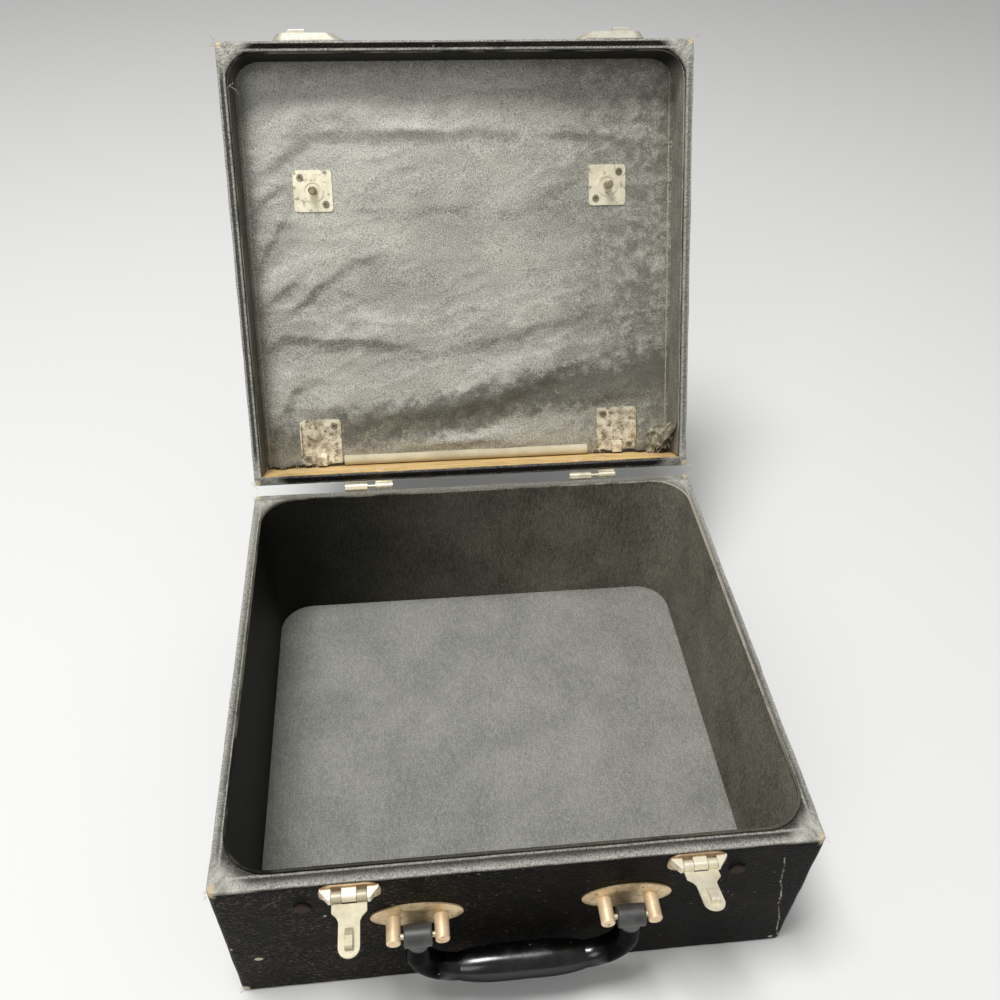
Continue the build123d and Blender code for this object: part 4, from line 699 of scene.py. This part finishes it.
def lid_leatherette():
    """The covering of the lid: its top, its walls and its turned rim."""
    mouth = (LID_LINING_CORNER, 0.6 * MM)
    turned = inset(LID_INSIDE, TURNED_IN)
    stations = [(turned, mouth, LID_LINING_EDGE + 1.2 * MM), (turned, mouth, LID_RIM + 1.4 * MM)]
    stations.append((LID_INSIDE, mouth, LID_RIM))
    stations.append((half_way(OUTLINE, LID_INSIDE), (10 * MM, 2 * MM), LID_RIM - 0.1 * MM))
    stations += rounded_edge(RIM_EDGE, LID_RIM, True)
    stations += wall_rings(LID_RIM + 1.7 * MM, LID_TOP - 2.2 * MM, 7)
    stations += reversed(rounded_edge(TOP_EDGE, LID_TOP, False))
    mesh = shell(stations, closed=True)
    bare = []
    for face in mesh.faces:
        middle = face.calc_center_median()
        if middle.y > turned[1] - 0.5 * MM and middle.y < LID_INSIDE[1] and middle.z > LID_RIM + 1.4 * MM:
            bare.append(face)
    bmesh.ops.delete(mesh, geom=bare, context="FACES")
    uneven(mesh, 0.35 * MM, 26 * MM, 13)
    uneven(mesh, 0.2 * MM, 5 * MM, 17)
    material = leatherette("worn_leatherette_lid", True)
    piece = finished("lid_leatherette", mesh, "lid", material, lid=True)
    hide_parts("lid_covering")
    return piece


def underside_sheet(material):
    """The flat sheet that closes the underside."""
    half = inset(OUTLINE, UNDERSIDE_FOLD)
    stations = [(half, (CORNER, CORNER), COVER), (half, (CORNER, CORNER), 0.0)]
    stations.append((inset(half, 4 * MM), (2 * MM, 2 * MM), 0.0))
    mesh = shell(stations, closed=True)
    piece = finished("underside_sheet", mesh, "base", material)
    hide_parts("base_underside_sheet")
    return piece


# Cloth linings


def base_wall_lining(material):
    """The lining of the base's walls, with its lip above the rim."""
    outer = BASE_INSIDE
    inner = inset(outer, BASE_LINING)
    wide = (BASE_LINING_CORNER, BASE_LINING_CORNER)
    tight = (BASE_LINING_CORNER - BASE_LINING, BASE_LINING_CORNER - BASE_LINING)
    between_both = half_way(wide, tight)
    stations = [(outer, wide, BASE_TOP - 1.5 * MM), (outer, wide, LIP_TOP - 0.6 * MM)]
    stations.append((half_way(outer, inner), between_both, LIP_TOP))
    stations.append((inner, tight, LIP_TOP - 0.6 * MM))
    for z in levels(LIP_TOP - 5 * MM, FLOOR_CLOTH, 16):
        stations.append((inner, tight, z))
    mesh = shell(stations)
    for vertex in mesh.verts:
        if vertex.co.z > BASE_TOP:
            vertex.co.z += 0.35 * MM * wander(vertex.co, 9 * MM, 5)
    piece = finished("base_wall_cloth", mesh, "base", material)
    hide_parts("base_wall_lining")
    return piece


def base_floor_lining(material):
    """The cloth on the floor, a little uneven."""
    half = inset(BASE_INSIDE, BASE_LINING)
    radius = BASE_LINING_CORNER - BASE_LINING
    stations = []
    low, high = FLOOR_TOP + 0.2 * MM, FLOOR_CLOTH - 0.2 * MM
    for amount, z in ((0.0, low), (0.0, high), (1.5, FLOOR_CLOTH), (5.0, FLOOR_CLOTH)):
        corner = radius - amount * MM
        stations.append((inset(half, amount * MM), (corner, corner), z))
    mesh = shell(stations, closed=True)
    piece = finished("base_floor_cloth", mesh, "base", material)
    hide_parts("base_floor_lining")
    return piece


def lid_wall_lining(material):
    """The cloth on the front and side walls of the lid. The wall at the hinges has none."""
    outer = LID_INSIDE
    inner = inset(outer, LID_LINING)
    wide = (LID_LINING_CORNER, 0.5 * MM)
    tight = (LID_LINING_CORNER - LID_LINING, 0.5 * MM)
    stations = [(outer, wide, LID_LINING_EDGE + 1.5 * MM), (outer, wide, LID_LINING_EDGE)]
    stations.append((inner, tight, LID_LINING_EDGE))
    for z in levels(LID_LINING_EDGE + 1.5 * MM, LID_PANEL, 14):
        stations.append((inner, tight, z))
    mesh = shell(stations)
    rear = [face for face in mesh.faces if face.calc_center_median().y > inner[1] - 0.7 * MM]
    bmesh.ops.delete(mesh, geom=rear, context="FACES")
    bmesh.ops.recalc_face_normals(mesh, faces=mesh.faces)
    for vertex in mesh.verts:
        if vertex.co.z < LID_LINING_EDGE + 0.5 * MM:
            vertex.co.z += 0.8 * MM * wander(vertex.co, 11 * MM, 21)
    piece = finished("lid_wall_cloth", mesh, "lid", material, lid=True)
    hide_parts("lid_wall_lining")
    return piece


# The most that the liner stands off the panel, in millimetres
HIGHEST_FOLD = 5.4

# Folds of the panel's liner, each above a crease: how far it stands off, how far below its top the
# crease is and how far it falls away above, then the crease's points (x, distance from the hinge line)
FOLDS = (
    (2.2, 12, 16, ((-156, 282), (-104, 283), (-56, 277), (0, 281), (38, 281), (76, 286), (132, 288))),
    (5.0, 14, 44, (
        (-162, 203), (-148, 222), (-130, 240), (-104, 253), (-68, 253),
        (-32, 252), (0, 252), (36, 251), (64, 262),
    )),
    (1.9, 10, 22, ((46, 250), (80, 253), (104, 250), (152, 244))),
    (2.0, 9, 16, ((-162, 194), (-144, 210), (-122, 226))),
    (2.3, 10, 22, ((-162, 143), (-146, 172), (-134, 190), (-108, 204))),
    (1.9, 9, 18, ((-162, 121), (-136, 146), (-114, 164))),
    (2.8, 12, 32, ((-160, 104), (-124, 134), (-92, 156), (-54, 172))),
    (3.2, 13, 32, ((-162, 93), (-140, 108), (-112, 105), (-66, 98), (-24, 96))),
    (2.4, 20, 38, ((-70, 84), (0, 92), (40, 100), (90, 112), (156, 138))),
    (4.4, 22, 40, ((-150, 28), (-64, 38), (-12, 42), (34, 53), (74, 66), (110, 76), (160, 94))),
    (3.0, 12, 30, ((-162, 18), (-144, 46), (-132, 66), (-100, 82))),
    (2.0, 12, 12, ((-100, 15), (-50, 17), (8, 19), (66, 16))),
    (1.6, 10, 18, ((70, 41), (104, 47), (152, 57))),
    (1.5, 16, 30, ((4, 184), (58, 204), (92, 218), (136, 234))),
    (1.3, 18, 30, ((-96, 198), (-30, 195), (36, 201))),
)


def offset_from_path(x, v, path):
    """How far a point is from a path, above it if more than 0, and how near to the path's ends, 0 to 0.5."""
    best = (1e9, 0.0, 0.0)
    count = len(path) - 1
    for number in range(count):
        (ax, av), (bx, bv) = path[number], path[number + 1]
        along_x, along_v = bx - ax, bv - av
        share = ((x - ax) * along_x + (v - av) * along_v) / (along_x**2 + along_v**2)
        share = min(1.0, max(0.0, share))
        off_x, off_v = x - ax - share * along_x, v - av - share * along_v
        above = math.copysign(1.0, along_x * off_v - along_v * off_x)
        gap = math.hypot(off_x, off_v)
        if gap < best[0]:
            best = (gap, above * gap, (number + share) / count)
    return best[1], min(best[2], 1 - best[2])


def waves(x, v, long, tall, seed):
    """A smooth random value from about -1 to 1, over distances along and across the liner."""
    return noise.noise(Vector((x / long, v / tall, seed)))


def limited(value, high=1.0):
    """A value kept from 0 to a limit."""
    return max(0.0, min(high, value))


def fold_height(x, v):
    """How far the liner stands off the panel at a point, in millimetres."""
    height = 0.5 + 0.6 * waves(x, v, 40, 24, 4.0)
    calm = max(0.0, 1.0 - math.hypot((x - 25) / 105, (v - 190) / 62))
    warp = 5.0 * waves(x, v, 30, 30, 2.0)
    ridge = 1.0 - abs(waves(x, v - 0.25 * x + warp, 46, 13, 6.0)) * 2.6
    height += 0.3 * (1.0 - calm) * max(0.0, ridge) ** 2
    height += 0.2 * waves(x, v, 9, 6, 9.0)
    for rise, below, beyond, path in FOLDS:
        offset, from_end = offset_from_path(x, v, path)
        offset += 3.4 * waves(x, v, 24, 24, rise) + 1.1 * waves(x, v, 7, 7, rise)
        offset += 0.35 * below
        if offset <= 0 or offset >= below + beyond:
            continue
        ends = math.sin(math.pi / 2 * min(1.0, from_end / 0.4)) ** 1.5
        ends *= 0.72 + 0.45 * waves(x, v, 19, 19, rise + 3.0)
        share = (offset / below) ** 1.7 if offset < below else (below + beyond - offset) / beyond
        height += rise * ends * (0.5 - 0.5 * math.cos(math.pi * share))
    return limited(height, HIGHEST_FOLD)


# Name of the liner's attribute of painted light and shade by slope, with some dusting: high where the liner
# faces up and low where it faces down
SLOPE_LIGHT_AND_DUST = "slope_light_and_dust"

# Where the fittings hold the liner flat, on both sides: x, distance from the hinge line and half size
# in millimetres, and how far from them it rises
SEATS = ((111.0, 219.3, 15.5), (118.3, 30.0, 18.5))
SEAT_SLOPE = 9.0


def seat(x, v):
    """0 under a fitting, where the liner is held flat, and 1 away from all of them."""
    openness = 1.0
    for side in (-1, 1):
        for centre_x, centre_v, half in SEATS:
            off = max(abs(x - side * centre_x), abs(v - centre_v)) - half
            openness = min(openness, limited(off / SEAT_SLOPE))
    return openness


# Half sizes of the liner
LINER_HALF = inset(LID_INSIDE, LID_LINING)


def liner_height(x, y):
    """The height of the liner's face at a place on the closed lid."""
    v = (HINGE_LINE.y - y) / MM
    wall = min(LINER_HALF[0] - abs(x), LINER_HALF[1] + y) / MM
    rise = fold_height(x / MM, v) * seat(x / MM, v) * limited(0.25 + wall / SEAT_SLOPE)
    return LINER_FACE - 0.15 * MM - rise * MM


def panel_liner(material):
    """The liner of the lid's panel, creased as in use and held flat under the fittings."""
    half_x, half_y = LINER_HALF
    mesh = bmesh.new()
    bmesh.ops.create_grid(mesh, x_segments=LINER_STEPS[0], y_segments=LINER_STEPS[1], size=1.0)
    radius = LID_LINING_CORNER - LID_LINING
    for vertex in mesh.verts:
        x = vertex.co.x * half_x
        y = vertex.co.y * half_y
        centre = Vector((math.copysign(half_x - radius, x), -(half_y - radius)))
        if abs(x) > abs(centre.x) and y < centre.y:
            off = Vector((x, y)) - centre
            if off.length > radius:
                x, y = centre + off * (radius / off.length)
        vertex.co = Vector((x, y, liner_height(x, y)))
    bmesh.ops.reverse_faces(mesh, faces=mesh.faces)
    mesh.normal_update()
    # Painted light and shade by slope, with some dusting: more where the liner faces up, less where it faces
    # down
    dust_and_light = mesh.verts.layers.float.new(SLOPE_LIGHT_AND_DUST)
    for vertex in mesh.verts:
        vertex[dust_and_light] = limited(0.5 - 1.8 * vertex.normal.y)
    piece = finished("panel_liner", mesh, "lid", material, lid=True, sharp_angle=180)
    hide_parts("lid_liner")
    return piece


def liner_piping(material):
    """The rolled strip along the liner's lower edge."""
    mesh = bmesh.new()
    length = PIPING_ENDS[1] - PIPING_ENDS[0]
    radii = {"radius1": PIPING_RADIUS, "radius2": PIPING_RADIUS}
    bmesh.ops.create_cone(mesh, cap_ends=True, segments=24, depth=length, **radii)
    sides = [edge for edge in mesh.edges if abs(edge.verts[0].co.z - edge.verts[1].co.z) > length / 2]
    bmesh.ops.subdivide_edges(mesh, edges=sides, cuts=24)
    bmesh.ops.rotate(mesh, matrix=Matrix.Rotation(math.pi / 2, 3, "Y"), verts=mesh.verts)
    for vertex in mesh.verts:
        swell = 1.0 + 0.02 * wander((vertex.co.x, 0, 0), 40 * MM, 31)
        vertex.co.y *= swell
        vertex.co.z = min(vertex.co.z, 0.0) * swell
    middle = Vector(((PIPING_ENDS[0] + PIPING_ENDS[1]) / 2, PIPING_Y, LINER_FACE))
    bmesh.ops.translate(mesh, vec=middle, verts=mesh.verts)
    bmesh.ops.remove_doubles(mesh, verts=mesh.verts, dist=0.01 * MM)
    piece = finished("liner_piping", mesh, "lid", material, lid=True, sharp_angle=80)
    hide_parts("lid_liner_piping")
    return piece


# Torn cloth and loose threads


def torn_edge(name, ends, deepest, seed, material):
    """What is left of the lining on the lid's rear board below the panel, with a ragged edge."""
    mesh = bmesh.new()
    bmesh.ops.create_grid(mesh, x_segments=64, y_segments=5, size=0.5)
    face_y = LID_INSIDE[1] - 0.5 * MM
    for vertex in mesh.verts:
        share = vertex.co.y + 0.5
        x = ends[0] + (ends[1] - ends[0]) * (vertex.co.x + 0.5)
        near_wall = abs(x) / LID_INSIDE[0]
        ragged = 0.62 + 0.55 * wander((x, 0, 0), 7 * MM, seed) + 0.4 * wander((x, 0, 0), 2.2 * MM, seed + 5)
        depth = deepest * max(0.12, ragged) * (near_wall**3)
        curl = 2.2 * MM * share**2 * (1 + wander((x, 0, 0), 5 * MM, seed + 9))
        vertex.co = Vector((x, face_y - curl, LINER_FACE + 0.2 * MM - depth * share))
    piece = finished(name, mesh, "lid", material, lid=True, sharp_angle=180)
    size = (abs(ends[1] - ends[0]), deepest)
    0.45 * size[0] * size[1]
    return piece


# The flap of lining that has come away in the lid's rear right corner, in millimetres on the closed
# lid: where it still holds, its free edge, and the way in which it puffs out
FLAP_HELD = (
    (161.2, 122.0, 131.0), (161.4, 124.5, 141.0), (159.5, 125.5, 152.0),
    (146.0, 131.0, 156.2), (141.5, 141.0, 156.2),
)
FLAP_FREE = (
    (161.0, 126.0, 130.6), (157.6, 134.0, 136.0), (152.0, 142.0, 141.5),
    (147.0, 147.5, 147.0), (142.5, 149.0, 152.0),
)
FLAP_BACK = Vector((-0.35, -0.2, -0.9))


def along(points, share):
    """A place on a smooth line through points, from 0 to 1."""
    steps = len(points) - 1
    number = min(int(share * steps), steps - 1)
    local = share * steps - number
    around = [Vector(points[max(0, min(steps, number + step))]) for step in (-1, 0, 1, 2)]
    before, first, second, after = around
    middle = (second - before) * local + (2 * before - 5 * first + 4 * second - after) * local**2
    return first + 0.5 * (middle + (3 * first - before - 3 * second + after) * local**3)


def torn_flap(material):
    """The loose flap of lining, puffed out, with a dark hollow behind its free edge."""
    mesh = bmesh.new()
    bmesh.ops.create_grid(mesh, x_segments=36, y_segments=20, size=0.5)
    for vertex in mesh.verts:
        line, across = vertex.co.x + 0.5, vertex.co.y + 0.5
        held, free = along(FLAP_HELD, line), along(FLAP_FREE, line)
        puff = math.sin(math.pi * min(1.0, across * 0.8)) * (4.6 * math.sin(math.pi * (0.12 + 0.8 * line)))
        spot = (line * 30, across * 12, 0)
        wrinkle = 0.9 * wander(spot, 5.0, 41) + 0.4 * wander(spot, 1.7, 43)
        ragged = 1.5 * across**4 * wander((line * 40, 0, 0), 1.2, 47)
        place = held.lerp(free, across + 0.12 * ragged) + FLAP_BACK * (puff + wrinkle * across)
        vertex.co = place * MM
    piece = finished("torn_lining_flap", mesh, "lid", material, lid=True, sharp_angle=180)
    return piece


# Frayed threads: root and direction in millimetres, length, spread and count
LID_TUFTS = (
    ((-167.0, -154.5, 125.5), (-0.6, -0.4, -0.6), 7, 0.8, 7),
    ((-160.0, -150.0, 124.6), (0.3, 0.4, -0.8), 6, 0.8, 4),
    ((167.0, -154.5, 125.5), (0.6, -0.4, -0.5), 6, 0.8, 6),
    ((-161.0, -128.0, 128.0), (0.5, 0.2, -0.2), 9, 0.5, 3),
    ((-160.0, 148.0, 149.0), (-0.2, 0.2, -0.9), 6, 0.9, 8),
    ((-150.0, 148.0, 150.0), (0.1, 0.2, -0.9), 6, 0.9, 7),
    ((-138.0, 148.0, 151.0), (0.2, 0.2, -0.9), 5, 0.9, 5),
    ((-124.0, 148.0, 152.0), (0.2, 0.2, -0.9), 4, 0.9, 4),
    ((150.0, 146.0, 150.0), (-0.3, 0.4, -0.6), 6, 0.9, 8),
    ((157.0, 141.0, 143.0), (-0.3, 0.4, -0.6), 5, 0.9, 7),
    ((146.0, 146.0, 154.0), (-0.8, 0.2, -0.5), 7, 0.7, 4),
    ((152.0, 142.0, 142.0), (-0.6, 0.3, -0.5), 6, 0.9, 10),
    ((147.0, 147.5, 147.0), (-0.7, 0.4, -0.4), 6, 0.9, 10),
    ((157.6, 134.0, 137.0), (-0.4, 0.1, -0.3), 5, 0.9, 8),
    ((167.0, 154.5, 126.0), (0.7, 0.4, -0.2), 8, 0.6, 6),
    ((166.0, 155.0, 126.0), (0.9, 0.2, -0.1), 15, 0.2, 1),
    ((159.5, -62.0, 154.0), (-0.5, 0.2, -0.6), 4, 0.9, 5),
    ((159.5, -76.0, 154.0), (-0.5, -0.2, -0.6), 4, 0.9, 5),
    ((159.5, -90.0, 154.0), (-0.6, 0.1, -0.6), 5, 0.9, 5),
    ((159.8, -20.0, 154.0), (-0.5, 0.2, -0.6), 3, 0.9, 3),
    ((-159.8, 20.0, 154.0), (0.5, 0.2, -0.6), 3, 0.9, 4),
    ((-159.8, 62.0, 154.0), (0.5, -0.2, -0.6), 3, 0.9, 4),
    ((-167.0, 155.0, 126.0), (-0.6, 0.5, -0.3), 6, 0.8, 6),
)
BASE_TUFTS = (
    ((-167.0, -155.0, 123.4), (-0.5, -0.5, 0.1), 3, 0.8, 6),
    ((167.0, -155.0, 123.4), (0.5, -0.5, 0.1), 3, 0.8, 5),
    ((-166.5, 154.5, 123.6), (-0.4, 0.3, 0.5), 5, 0.8, 6),
    ((166.5, 154.5, 123.6), (0.5, 0.3, 0.3), 5, 0.8, 5),
    ((-166.5, -155.5, 1.5), (-0.5, -0.5, 0.1), 3, 0.8, 4),
)


# Thickness of a thread, and the heights in millimetres between which the threads of a half stay
THREAD_RADIUS = 0.14 * MM
THREAD_HEIGHTS = {"base": (0.3, 123.8), "lid": (124.9, math.inf)}


def stray(chance):
    """A random step of up to 1 each way."""
    return Vector([chance.uniform(-1, 1) for _ in range(3)])


def tuft_thread(chance, tuft, heights):
    """The points of one thread of a tuft."""
    root, direction, length, spread, _ = tuft
    heading = Vector(direction) + spread * stray(chance)
    points = [Vector(root) + 1.6 * stray(chance)]
    step = length * chance.uniform(0.5, 1.15) / 5
    for _ in range(5):
        heading += 0.55 * stray(chance)
        points.append(points[-1] + heading.normalized() * step)
    for point in points:
        point.z = max(heights[0], min(point.z, heights[1]))
    return [point * MM for point in points]


def liner_hair(chance):
    """The points of one hair that lies on the liner."""
    x, y = chance.uniform(-150, 150), chance.uniform(-140, 135)
    turn = chance.uniform(0, 2 * math.pi)
    step = chance.uniform(0.5, 1.3)
    points = []
    for _ in range(6):
        points.append(Vector((x * MM, y * MM, liner_height(x * MM, y * MM) - 0.2 * MM)))
        turn += chance.uniform(-0.7, 0.7)
        x, y = x + step * math.cos(turn), y + step * math.sin(turn)
    return points


def threads(name, tufts, hairs, half, material):
    """Loose threads of the base or lid as fine bent tubes, in tufts and as hairs on the liner."""
    chance = random.Random(11)
    lines = bpy.data.curves.new(name + "_lines", "CURVE")
    lines.dimensions = "3D"
    lines.bevel_depth = THREAD_RADIUS
    lines.bevel_resolution = 0
    lines.resolution_u = 3
    for tuft in tufts:
        for _ in range(tuft[-1]):
            add_thread(lines, tuft_thread(chance, tuft, THREAD_HEIGHTS[half]))
    for _ in range(hairs):
        add_thread(lines, liner_hair(chance))
    drawn = bpy.data.objects.new(name + "_lines", lines)
    mesh = bmesh.new()
    mesh.from_mesh(bpy.data.meshes.new_from_object(drawn))
    bpy.data.objects.remove(drawn)
    return finished(name, mesh, half, material, lid=half == "lid", sharp_angle=80)


def add_thread(lines, points):
    """One smooth thread through a few points."""
    spline = lines.splines.new("NURBS")
    spline.points.add(len(points) - 1)
    for held, place in zip(spline.points, points):
        held.co = (*place, 1.0)
    spline.order_u = 3
    spline.use_endpoint_u = True


# CAD parts


def dress(names, material):
    """Gives CAD parts their finish."""
    for name in names:
        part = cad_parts[name]
        part.data.materials.clear()
        part.data.materials.append(material)


def both(pattern):
    """The names of a left and a right part."""
    return [pattern + "_left", pattern + "_right"]


def dress_wood():
    """Boards and blocks."""
    for half, flat in (("base", "bottom"), ("lid", "top")):
        kinds = [side + "_board" for side in ("left", "right", "front", "rear", flat)] + ["corner_blocks"]
        wood = bare_wood("old_wood_" + half, half == "lid")
        dress([half + "_" + kind for kind in kinds], wood)


# Metals of the fittings: colours where clean, dull and stained, how stained from 0 to 1, roughness, size
# of the pits, how metallic, and whether its pattern follows the lid
RUST, SOOT, UMBER = (0.2, 0.1, 0.04), (0.1, 0.082, 0.056), (0.17, 0.125, 0.075)
CREAM, TAN, GREY, PALE = (0.8, 0.735, 0.53), (0.95, 0.76, 0.5), (0.62, 0.56, 0.4), (0.88, 0.82, 0.62)
METALS = {
    "cream_nickel": ((0.58, 0.53, 0.385), (0.47, 0.42, 0.29), RUST, 0.36, 0.5, 2 * MM, 0.35, False),
    "bright_nickel": ((0.66, 0.63, 0.54), (0.56, 0.52, 0.4), RUST, 0.3, 0.42, 2 * MM, 0.55, True),
    "specked_nickel": ((0.97, 0.91, 0.71), CREAM, UMBER, 0.62, 0.45, 0.5 * MM, 0.55, True),
    "corroded_steel": ((0.92, 0.85, 0.66), (0.42, 0.35, 0.24), UMBER, 0.8, 0.55, 1.5 * MM, 0.55, True),
    "dark_stud": ((0.36, 0.32, 0.22), (0.2, 0.17, 0.11), SOOT, 0.5, 0.35, 0.9 * MM, 0.55, True),
    "brown_brass": ((0.8, 0.63, 0.38), (0.52, 0.37, 0.2), RUST, 0.5, 0.4, 3 * MM, 0.55, False),
    "tan_brass": (TAN, (0.85, 0.6, 0.36), RUST, 0.55, 0.42, 1.2 * MM, 0.35, False),
    "rusty_iron": ((0.034, 0.02, 0.014), (0.016, 0.0105, 0.008), RUST, 0.3, 0.7, 2 * MM, 0.55, False),
    "hinge_nickel": (PALE, GREY, RUST, 0.45, 0.38, 2 * MM, 0.55, False),
    "tan_hinge_metal": (TAN, CREAM, RUST, 0.45, 0.4, 2 * MM, 0.55, False),
    "hinge_nickel_lid": (PALE, GREY, RUST, 0.45, 0.38, 2 * MM, 0.55, True),
    # A lighter copy of cream_nickel for the right hasp: painted light, as that hasp faces up
    "hasp_nickel_painted_lit": ((0.82, 0.77, 0.61), (0.68, 0.62, 0.46), RUST, 0.36, 0.42, 2 * MM, 0.35, False),
}

# The fittings of each metal, with the slot they go in
FITTINGS = (
    ("cream_nickel", "nickel", ["hasp_left", "hasp_pins"]),
    ("hasp_nickel_painted_lit", "nickel", ["hasp_right"]),
    ("bright_nickel", "nickel", both("lock_cover") + both("lock_button") + both("lock_back_plate")),
    ("specked_nickel", "steel", both("lock_bolt") + ["lock_springs", "lock_rivets"]),
    ("specked_nickel", "nickel", both("lid_stud_plate")),
    ("dark_stud", "nickel", both("lid_stud") + ["lid_eyelets"]),
    ("corroded_steel", "steel", both("lid_clip_plate") + ["lid_corner_nails"]),
    ("brown_brass", "brass", both("handle_plate")),
    ("tan_brass", "brass", ["handle_posts", "handle_washers"]),
    ("tan_brass", "nickel", ["hinge_lid_rivets"]),
    ("rusty_iron", "steel", ["front_rivets", "base_corner_nails"]),
    ("hinge_nickel", "steel", ["handle_pins"]),
    ("hinge_nickel", "nickel", ["hinge_base_leaf_right", "hinge_pins", "hinge_base_rivets"]),
    ("tan_hinge_metal", "nickel", ["hinge_base_leaf_left"]),
    ("hinge_nickel_lid", "nickel", both("hinge_lid_leaf")),
)


def dress_metal():
    """Fittings, by how far each kind has aged, and the handle."""
    metals = {name: aged_metal(name, *values) for name, values in METALS.items()}
    for name, slot, parts in FITTINGS:
        dress(parts, metals[name])
    dress(both("hasp_plate") + ["hasp_rivets"], stained_plate_metal("stained_nickel"))
    dress(["handle"], moulded_black("moulded_handle"))


# Stage, light and camera


def make_stage():
    """A wide plain pale floor."""
    mesh = bmesh.new()
    bmesh.ops.create_grid(mesh, x_segments=1, y_segments=1, size=STAGE_HALF)
    bmesh.ops.translate(mesh, vec=(0, 0, -STAGE_GAP), verts=mesh.verts)
    data = bpy.data.meshes.new("floor")
    mesh.to_mesh(data)
    mesh.free()
    material = start("pale_floor", False)[0]
    data.materials.append(painted(material, STAGE_COLOUR, 0.9))
    floor = bpy.data.objects.new("floor", data)
    bpy.context.scene.collection.objects.link(floor)


def area_light(name, place, aim, size, power):
    """A square soft light of a power in watts that points at a place."""
    light = bpy.data.lights.new(name, "AREA")
    light.size = size
    light.energy = power
    lamp = bpy.data.objects.new(name, light)
    lamp.location = place
    lamp.rotation_euler = (Vector(aim) - Vector(place)).to_track_quat("-Z", "Y").to_euler()
    bpy.context.scene.collection.objects.link(lamp)


def make_lights():
    """A large soft light above, a weak one from the front, and an even surround."""
    area_light("key_light", (-0.4, -0.05, 2.35), (0, 0.1, 0.1), 0.8, 46)
    area_light("fill_light", (-0.9, -1.7, 1.5), (0, 0.05, 0.15), 1.0, 8)
    world = bpy.data.worlds.new("surround")
    world.use_nodes = True
    surround = world.node_tree.nodes["Background"].inputs
    connect(surround["Color"], (1, 1, 1))
    connect(surround["Strength"], SURROUND_STRENGTH)
    bpy.context.scene.world = world


def make_camera():
    """The camera at the photograph's place and angle."""
    flat = math.cos(CAMERA_PITCH)
    ahead = Vector((math.sin(CAMERA_YAW) * flat, math.cos(CAMERA_YAW) * flat, -math.sin(CAMERA_PITCH)))
    level = ahead.cross(Vector((0, 0, 1))).normalized()
    upright = level.cross(ahead)
    right = math.cos(CAMERA_ROLL) * level + math.sin(CAMERA_ROLL) * upright
    up = -math.sin(CAMERA_ROLL) * level + math.cos(CAMERA_ROLL) * upright
    data = bpy.data.cameras.new("photo_camera")
    data.lens = CAMERA_LENS
    data.sensor_width = 36
    data.clip_start = 0.02
    camera = bpy.data.objects.new("photo_camera", data)
    turn = Matrix((right, up, -ahead)).transposed().to_4x4()
    camera.matrix_world = Matrix.Translation(CAMERA_PLACE) @ turn
    bpy.context.scene.collection.objects.link(camera)
    bpy.context.scene.camera = camera
    bpy.context.scene.view_settings.view_transform = "Standard"


def main():
    """Makes the camera, the light and every piece."""
    make_camera()
    make_lights()
    make_stage()
    dress_wood()
    dress_metal()
    base_leatherette()
    lid_leatherette()
    underside_sheet(bpy.data.materials["worn_leatherette_base"])
    black = (0.004, 0.0039, 0.003)
    shape = (black, (0.42, 0.4, 0.31), False, (1.0, 1.0, 0.3), base_wall_light_and_shade, LIP_TOP)
    base_wall_lining(lining_cloth("wall_cloth", *shape, gloss=0.1, frayed_share=0.25))
    shape = ((0.13, 0.13, 0.117), (0.44, 0.437, 0.395), False, (1.0, 0.35, 1.0), floor_dust, LID_TOP)
    base_floor_lining(lining_cloth("floor_cloth", *shape))
    shape = (black, (0.5, 0.48, 0.4), True, (0.08, 0.08, 1.0), lid_wall_light_and_shade, LID_LINING_EDGE)
    lid_wall_lining(lining_cloth("lid_wall_cloth", *shape, gloss=0.15))
    panel_liner(liner_cloth("liner_cloth"))
    liner_piping(plain_cloth("piping_cloth", (0.46, 0.41, 0.28), (0.64, 0.58, 0.41), True, 60 * MM))
    torn = plain_cloth("torn_cloth", (0.035, 0.032, 0.026), (0.16, 0.15, 0.12), True, 7 * MM)
    torn_edge("torn_lining_left", (-162 * MM, -101 * MM), 12 * MM, 3, torn)
    torn_edge("torn_lining_right", (100 * MM, 162 * MM), 12 * MM, 8, torn)
    torn_flap(plain_cloth("flap_cloth", (0.07, 0.06, 0.036), (0.42, 0.385, 0.28), True, 5 * MM))
    frayed = (("thread_cloth", "lid", LID_TUFTS, 26), ("thread_cloth_base", "base", BASE_TUFTS, 0))
    for name, half, tufts, hairs in frayed:
        pale = plain_cloth(name, (0.42, 0.38, 0.27), (0.78, 0.74, 0.62), half == "lid", 5 * MM)
        threads(half + "_frayed_threads", tufts, hairs, half, pale)


main()
